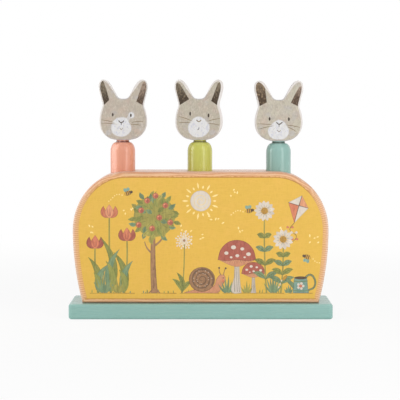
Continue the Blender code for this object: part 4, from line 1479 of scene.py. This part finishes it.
def draw_face(side, print_line):
    """A rabbit's face, with its dark ear patches."""
    face = FACES[side]
    picture = Picture(HEAD_SEEDS[side])
    draw_fur(picture, print_line, side + "_fur", face["patches"], FACE_HAIRS)
    draw_ear_patches(picture, print_line, face["ear_inks"], face["ears"])
    muzzle = curve(face["muzzle"])
    if signed_area(muzzle) < 0:
        muzzle.reverse()
    if "eye_patch" in face:
        u, v, radius = face["eye_patch"]
        draw_soft_patch(picture, ellipse((u, v), radius, radius))
        picture.arc("hair_pale", (u - 3.6, v - 4.4), (u - 1.6, v - 1), 0, 3.4, 3.0)
    draw_soft_patch(picture, muzzle)
    for start, end in face["whiskers"]:
        line = bow(start, end, 0.03 if start[0] < 0 else -0.03, 8)
        widths = [0.2 + 0.42 * math.sin(math.pi * (step + 1) / 10) for step in range(9)]
        picture.shape("soft_line", ribbon(line, widths))
        picture.arc("hair_light", line[-1], line[-1] + (line[-1] - line[-2]), 0, 0.3, 0.2, 0.5, 2)
    for eye in face["eyes"]:
        picture.shape("face_line", ellipse(eye, *face["eye_size"]))
    nose = curve(face["nose"], False)
    picture.line(face["nose_ink"], nose, 0.9, 0.9)
    if "stem" in face:
        tip = placed(*nose[4])
        picture.shape("face_line", (nose[3], tip(0, -0.6), nose[5], tip(0, 0.9)))
        picture.arc("face_line", *face["stem"], 0, 0.75, 0.55, 0.5, 3)
    picture.line(face["mouth_ink"], curve(face["mouth"], False), 0.6, 0.5)
    for row in range(3):
        for sign in (1, -1):
            picture.dot("hair_dark", (sign * (3.2 + 0.9 * row), 12.8 - 1.1 * row), 0.2)
    return picture


def draw_nape(side, print_line):
    """The back of a rabbit's head: fur, dark backs of the ears and a pale tuft."""
    face = FACES[side]
    picture = Picture(HEAD_SEEDS[side] + 10)
    draw_fur(picture, print_line, side + "_fur", NAPE_PATCHES, NAPE_HAIRS)
    ears = [[(-u, v) for u, v in inner] for inner in reversed(face["ears"])]
    draw_ear_patches(picture, print_line, face["ear_inks"][::-1], ears)
    for step in range(-4, 5):
        base = Vector((step * 0.9, 6 + abs(step) * 0.5))
        picture.leaf("muzzle", base, base + Vector((step * 0.5, 8 - abs(step))), 1.4, 0, 0.4)
    return picture


# Pieces


def hole(place, *profile, segments=64):
    """A turned cutter for a hole, from the (radius, height) points of its wall upwards."""
    low, high = profile[0][1], profile[-1][1]
    return lathe([(0, low), *profile, (0, high)], False, *place, segments)


def make_base(finishes):
    """The base plate, with its spring recesses, dowel sockets and countersunk screw holes."""
    low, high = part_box("base_plate")
    outline = smoothed(ring("base_plate", 2, low.z + BASE_EDGE_ROUND), 3)
    plate = new_piece("base", slab(outline, low.z, high.z, BASE_EDGE_ROUND), finishes["base_paint"])
    over = high.z + CUT_OVERRUN
    sockets = [(side + "_spring", RECESS_CLEARANCE) for side in SIDES]
    sockets += [(node, CONTACT_GAP) for node in BLOCK_DOWELS]
    cutters = []
    for node, gap in sockets:
        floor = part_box(node)[0].z - CONTACT_GAP
        cutters.append(bore((axis_of(node)[0], 0), box_radius(node) + gap, floor, over))
    for node in BASE_SCREWS:
        head, neck, shank, _ = screw_profile(node)
        wall = ((head.x, low.z - CUT_OVERRUN), (head.x, head.y), (neck.x, neck.y), (shank.x, over))
        wall = [(radius + SCREW_CLEARANCE, height) for radius, height in wall]
        cutters.append(hole(axis_of(node), *wall))
    carve(plate, cutters)
    stand_in(plate, "base_plate", "housing")


def screw_profile(node):
    """A screw's profile from the rim of its head, which faces down, up to its point."""
    return sorted(meridian(node)[0], key=lambda point: point.y)


def make_core(finishes):
    """The middle of the block, with the figures' bores, out to the panels that are glued to it."""
    outline, _ = printed_side("front_panel", -1, PANEL_EDGE_ROUND)
    foot, top = (corner.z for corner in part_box("block_core"))
    ends = (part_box("front_panel")[1].y + HAIRLINE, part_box("back_panel")[0].y - HAIRLINE)
    bm = skin([[(point.x * MM, depth, foot + point.y * MM) for point in outline] for depth in ends])
    core = new_piece("core", bm, finishes["block_paint"])
    under, over = foot - CUT_OVERRUN, top + CUT_OVERRUN
    cutters = []
    for side in SIDES:
        wide = box_radius(side + "_peg_foot") + BORE_CLEARANCE
        guide = box_radius(side + "_peg") + GUIDE_CLEARANCE
        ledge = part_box(side + "_peg")[0].z
        wall = [(wide, under), (wide, ledge), (guide, ledge), (guide, top - RIM_CHAMFER)]
        wall += [(guide + RIM_CHAMFER, top), (guide + RIM_CHAMFER, over)]
        cutters.append(hole((axis_of(side + "_peg")[0], 0), *wall, segments=96))
    for node in BLOCK_DOWELS + BASE_SCREWS:
        radius = screw_profile(node)[1].x if node in BASE_SCREWS else box_radius(node)
        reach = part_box(node)[1].z + CONTACT_GAP
        cutters.append(bore(axis_of(node), radius + CONTACT_GAP, under, reach, 32))
    carve(core, cutters)
    stand_in(core, "block_core", "housing")


def bore(place, radius, low, high, segments=64):
    """A cutter for a plain round hole."""
    return hole(place, (radius, low), (radius, high), segments=segments)


def box_radius(node):
    low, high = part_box(node)
    return (high.x - low.x) / 2


def make_panels(finishes):
    """The two printed faces of the block."""
    for name, facing, seed, motifs in (
        ("front", -1, GARDEN_SEED, FRONT_GARDEN), ("back", 1, GARDEN_SEED + 1, BACK_GARDEN),
    ):
        node = name + "_panel"
        board = printed_side(node, facing, PANEL_EDGE_ROUND)
        band = []
        for out, _ in outward(board[0]):
            level = TOP_BAND if out.y > 0 else FOOT_BAND
            band.append(level + (SIDE_BAND - level) * out.x**2)
        paints, pictures = ("border_paint", "field"), [draw_garden(seed, motifs)]
        panel = printed_board(name, node, board, PANEL_EDGE_ROUND, band, paints, pictures, finishes)
        stand_in(panel, node, "housing")


def make_head(side, finishes):
    """A head of board with a blank rounded rim, printed on its front and its back."""
    node = side + "_head"
    face = FACES[side]
    board = printed_side(node, -1, HEAD_EDGE_ROUND)
    outline = board[0]
    band = []
    for point, (out, _) in zip(outline, outward(outline)):
        width = face["rim"] - face["shift"] * out.x
        if point.y > EAR_FOOT and out.x * point.x < 0:
            width += face["inner_rim"]
        if point.y > EAR_FOOT:
            width *= share_of(abs(point.x), *CROWN_SPAN)
        band.append(width * share_of(out.y, *CHIN_SPAN))
    band = even_out(band)
    least = HEAD_RIM_ROUND / MM + PRINT_MARGIN
    print_line = inset(outline, [max(width, least) for width in band])
    paints = ("blank", side + "_fur")
    pictures = [draw_face(side, print_line), draw_nape(side, flipped(print_line))]
    head = printed_board(side + "_rabbit", node, board, HEAD_RIM_ROUND, band, paints, pictures, finishes)
    dowel = side + "_neck_dowel"
    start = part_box(node)[0].z - CUT_OVERRUN
    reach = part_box(dowel)[1].z + CONTACT_GAP
    carve(head, [bore(axis_of(dowel), box_radius(dowel) + CONTACT_GAP, start, reach, 48)])
    stand_in(head, node, side + "_figure")


def share_of(value, low, high):
    """How far a value lies between two others, from 0 to 1."""
    return min(max((value - low) / (high - low), 0), 1)


def even_out(values, rounds=6):
    """Values round a loop, each drawn towards its neighbours several times."""
    count = len(values)
    for _ in range(rounds):
        values = [
            (values[number - 1] + 2 * values[number] + values[(number + 1) % count]) / 4
            for number in range(count)
        ]
    return values


def make_peg(side, finishes):
    """A turned peg. Its collar reaches up to the chin, where the head is glued on, and the collar's foot is
    painted dark as the shade under the head.
    """
    node = side + "_peg"
    x, y = axis_of(node)
    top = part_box(node)[1].z
    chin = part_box(side + "_head")[0].z
    profile, closed = meridian(node)
    profile = smoothed(profile, 4, closed)
    radius = max(point.x for point in profile if point.y > top - SAME_PLACE)
    foot = top - PEG_COLLAR_HEIGHT
    lip = foot + PEG_SHADE_BAND
    flared = radius + PEG_FLARE - SAME_PLACE
    profile = [point for point in profile if point.x > flared or not foot - SAME_PLACE < point.y < lip]
    on_collar = [point.y > lip and abs(point.x - radius) < SAME_PLACE for point in profile]
    profile.insert(on_collar.index(True), Vector((radius, lip)))
    for point in profile:
        if point.y > top - SAME_PLACE:
            point.y = chin - HAIRLINE
    bm = lathe(profile, closed, x, y, 128)
    for face in bm.faces:
        height = face.calc_center_median().z
        outside = face.calc_center_median() - Vector((x, y, height))
        # The collar's foot takes a darker copy of the peg's paint: painted shade under the head
        painted_shade = foot + SAME_PLACE < height < lip and outside.length > radius * 0.9
        face.material_index = 1 if painted_shade else 0
    peg = new_piece(side + "_dowel_peg", bm, finishes[side + "_peg_paint"], finishes[side + "_neck"])
    stand_in(peg, node, side + "_figure")


def make_turned(name, node, body, slot, finishes, flutes=0):
    profile, closed = meridian(node)
    bm = lathe(smoothed(profile, 3, closed), closed, *axis_of(node), flutes=flutes)
    stand_in(new_piece(name, bm, finishes[slot]), node, body)


def make_spring(side, finishes):
    """A compression spring with closed ends."""
    node = side + "_spring"
    x, y = axis_of(node)
    length = SPRING_TOP - SPRING_ANCHOR
    radius = box_radius(node) - SPRING_WIRE / 2
    end_pitch = SPRING_WIRE + SPRING_END_GAP
    end_rise = SPRING_END_TURNS * end_pitch
    pitch = (length - SPRING_WIRE - 2 * end_rise) / (SPRING_TURNS - 2 * SPRING_END_TURNS)
    line, frames = [], []
    for step in range(SPRING_TURNS * SPRING_STEPS + 1):
        turn = step / SPRING_STEPS
        if turn <= SPRING_END_TURNS:
            rise, slope = turn * end_pitch, end_pitch
        elif turn >= SPRING_TURNS - SPRING_END_TURNS:
            rise, slope = length - SPRING_WIRE - (SPRING_TURNS - turn) * end_pitch, end_pitch
        else:
            rise, slope = end_rise + (turn - SPRING_END_TURNS) * pitch, pitch
        angle = 2 * math.pi * turn
        out = Vector((math.cos(angle), math.sin(angle), 0))
        forward = Vector((-math.sin(angle), math.cos(angle), slope / (2 * math.pi * radius)))
        line.append(Vector((x, y, SPRING_ANCHOR + SPRING_WIRE / 2 + rise)) + out * radius)
        frames.append((out, forward.normalized().cross(out)))
    spring = new_piece(side + "_coil", tube(line, frames, SPRING_WIRE / 2), finishes["spring_steel"])
    spring.modifiers.clear()
    stand_in(spring, node, "housing")
    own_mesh(spring)


def make_screw(node, body, finishes):
    """A countersunk screw with a plain shank and a cross recess in its head."""
    x, y = axis_of(node)
    head, neck, shank, point = screw_profile(node)
    profile = [(0, head.y), (head.x, head.y), neck, shank, (0, point.y)]
    screw = new_piece(node + "_body", lathe(profile, False, x, y, 48), finishes["screw_steel"])
    reach, half, depth = (neck.x * 2 * share for share in CROSS_SHARES)
    arm = [Vector((reach, -half)), Vector((reach, half)), Vector((half, half))]
    outline = [Matrix.Rotation(quarter * math.pi / 2, 2) @ corner for quarter in range(4) for corner in arm]
    cross = skin(
        [
            [(x + corner.x * share, y + corner.y * share, height) for corner in outline]
            for share, height in ((1.0, head.y - CUT_OVERRUN), (CROSS_TAPER, head.y + depth))
        ]
    )
    carve(screw, [cross])
    stand_in(screw, node, body)


def make_pieces(finishes):
    make_base(finishes)
    make_core(finishes)
    make_panels(finishes)
    for node in BASE_SCREWS:
        make_screw(node, "housing", finishes)
    for node in BLOCK_DOWELS:
        make_turned(node + "_pin", node, "housing", "bare_wood", finishes, 16)
    for side in SIDES:
        figure = side + "_figure"
        make_head(side, finishes)
        make_peg(side, finishes)
        make_turned(side + "_disc", side + "_peg_foot", figure, "bare_wood", finishes)
        make_turned(side + "_cap", side + "_spring_cap", side + "_slider", "cap_plastic", finishes)
        make_turned(side + "_pin", side + "_neck_dowel", figure, "bare_wood", finishes, 12)
        make_screw(side + "_foot_screw", figure, finishes)
        make_spring(side, finishes)


# Studio


def white_to_camera(nodes, shader, white, share=None):
    """Mixes white, by a share, into a shader for what the camera, mirrors and glass see."""
    path = nodes.node("ShaderNodeLightPath")
    seen = path.outputs["Is Camera Ray"]
    for ray in ("Is Glossy Ray", "Is Transmission Ray"):
        seen = nodes.calc("MAXIMUM", seen, path.outputs[ray])
    if share is not None:
        seen = nodes.times(seen, share)
    return nodes.fed("ShaderNodeMixShader", seen, shader, white)


def make_floor():
    """A pale floor that keeps a soft shadow."""
    bm = bmesh.new()
    bmesh.ops.create_grid(bm, x_segments=1, y_segments=1, size=FLOOR_REACH)
    floor = linked("floor", mesh_of("floor", bm))
    material = bpy.data.materials.new("floor")
    material.use_nodes = True
    nodes = Nodes(material.node_tree)
    shader = nodes.tree.nodes["Principled BSDF"]
    shader.inputs["Base Color"].default_value = FLOOR_COLOUR
    shader.inputs["Roughness"].default_value = FLOOR_ROUGHNESS
    shader.inputs["Specular IOR Level"].default_value = FLOOR_SPECULAR
    white = nodes.node("ShaderNodeEmission").outputs[0]
    reach = nodes.node("ShaderNodeVectorMath", operation="LENGTH")
    nodes.link(nodes.node("ShaderNodeTexCoord").outputs["Object"], reach.inputs[0])
    fade = nodes.ramp(reach.outputs["Value"], *FLOOR_FADE, FLOOR_WHITE, 1.0, interpolation_type="SMOOTHSTEP")
    mixed = white_to_camera(nodes, shader.outputs[0], white, fade)
    nodes.link(mixed, nodes.tree.nodes["Material Output"].inputs["Surface"])
    floor.data.materials.append(material)


def make_world():
    """White all round to the eye, and a soft even light of a lower level."""
    world = bpy.data.worlds.new("studio")
    bpy.context.scene.world = world
    world.use_nodes = True
    nodes = Nodes(world.node_tree)
    light = nodes.tree.nodes["Background"]
    white = nodes.node("ShaderNodeBackground")
    for background, level in ((light, WORLD_LEVEL), (white, 1.0)):
        background.inputs["Color"].default_value = (1, 1, 1, 1)
        background.inputs["Strength"].default_value = level
    mixed = white_to_camera(nodes, light.outputs[0], white.outputs[0])
    nodes.link(mixed, nodes.tree.nodes["World Output"].inputs["Surface"])


def make_lamp(name, place, size, power, on_matt, in_gloss):
    """A soft box that faces the middle of the toy."""
    data = bpy.data.lights.new(name, "AREA")
    data.shape = "RECTANGLE"
    data.size, data.size_y = size
    data.energy = power
    lamp = linked(name, data)
    lamp.location = place
    lamp.rotation_euler = (Vector(LAMP_TARGET) - Vector(place)).to_track_quat("-Z", "Y").to_euler()
    lamp.visible_camera = False
    lamp.visible_diffuse = on_matt
    lamp.visible_glossy = in_gloss


def make_camera():
    data = bpy.data.cameras.new("camera")
    data.lens = CAMERA_LENS
    data.sensor_width = SENSOR_WIDTH
    camera = linked("camera", data)
    camera.location = CAMERA_PLACE
    camera.rotation_euler = (math.pi / 2 + CAMERA_TILT, 0, 0)
    bpy.context.scene.camera = camera


def make_studio():
    make_floor()
    make_world()
    for lamp in LAMPS:
        make_lamp(*lamp)
    make_camera()
    bpy.context.scene.view_settings.view_transform = "Standard"


make_studio()
make_pieces(make_finishes())
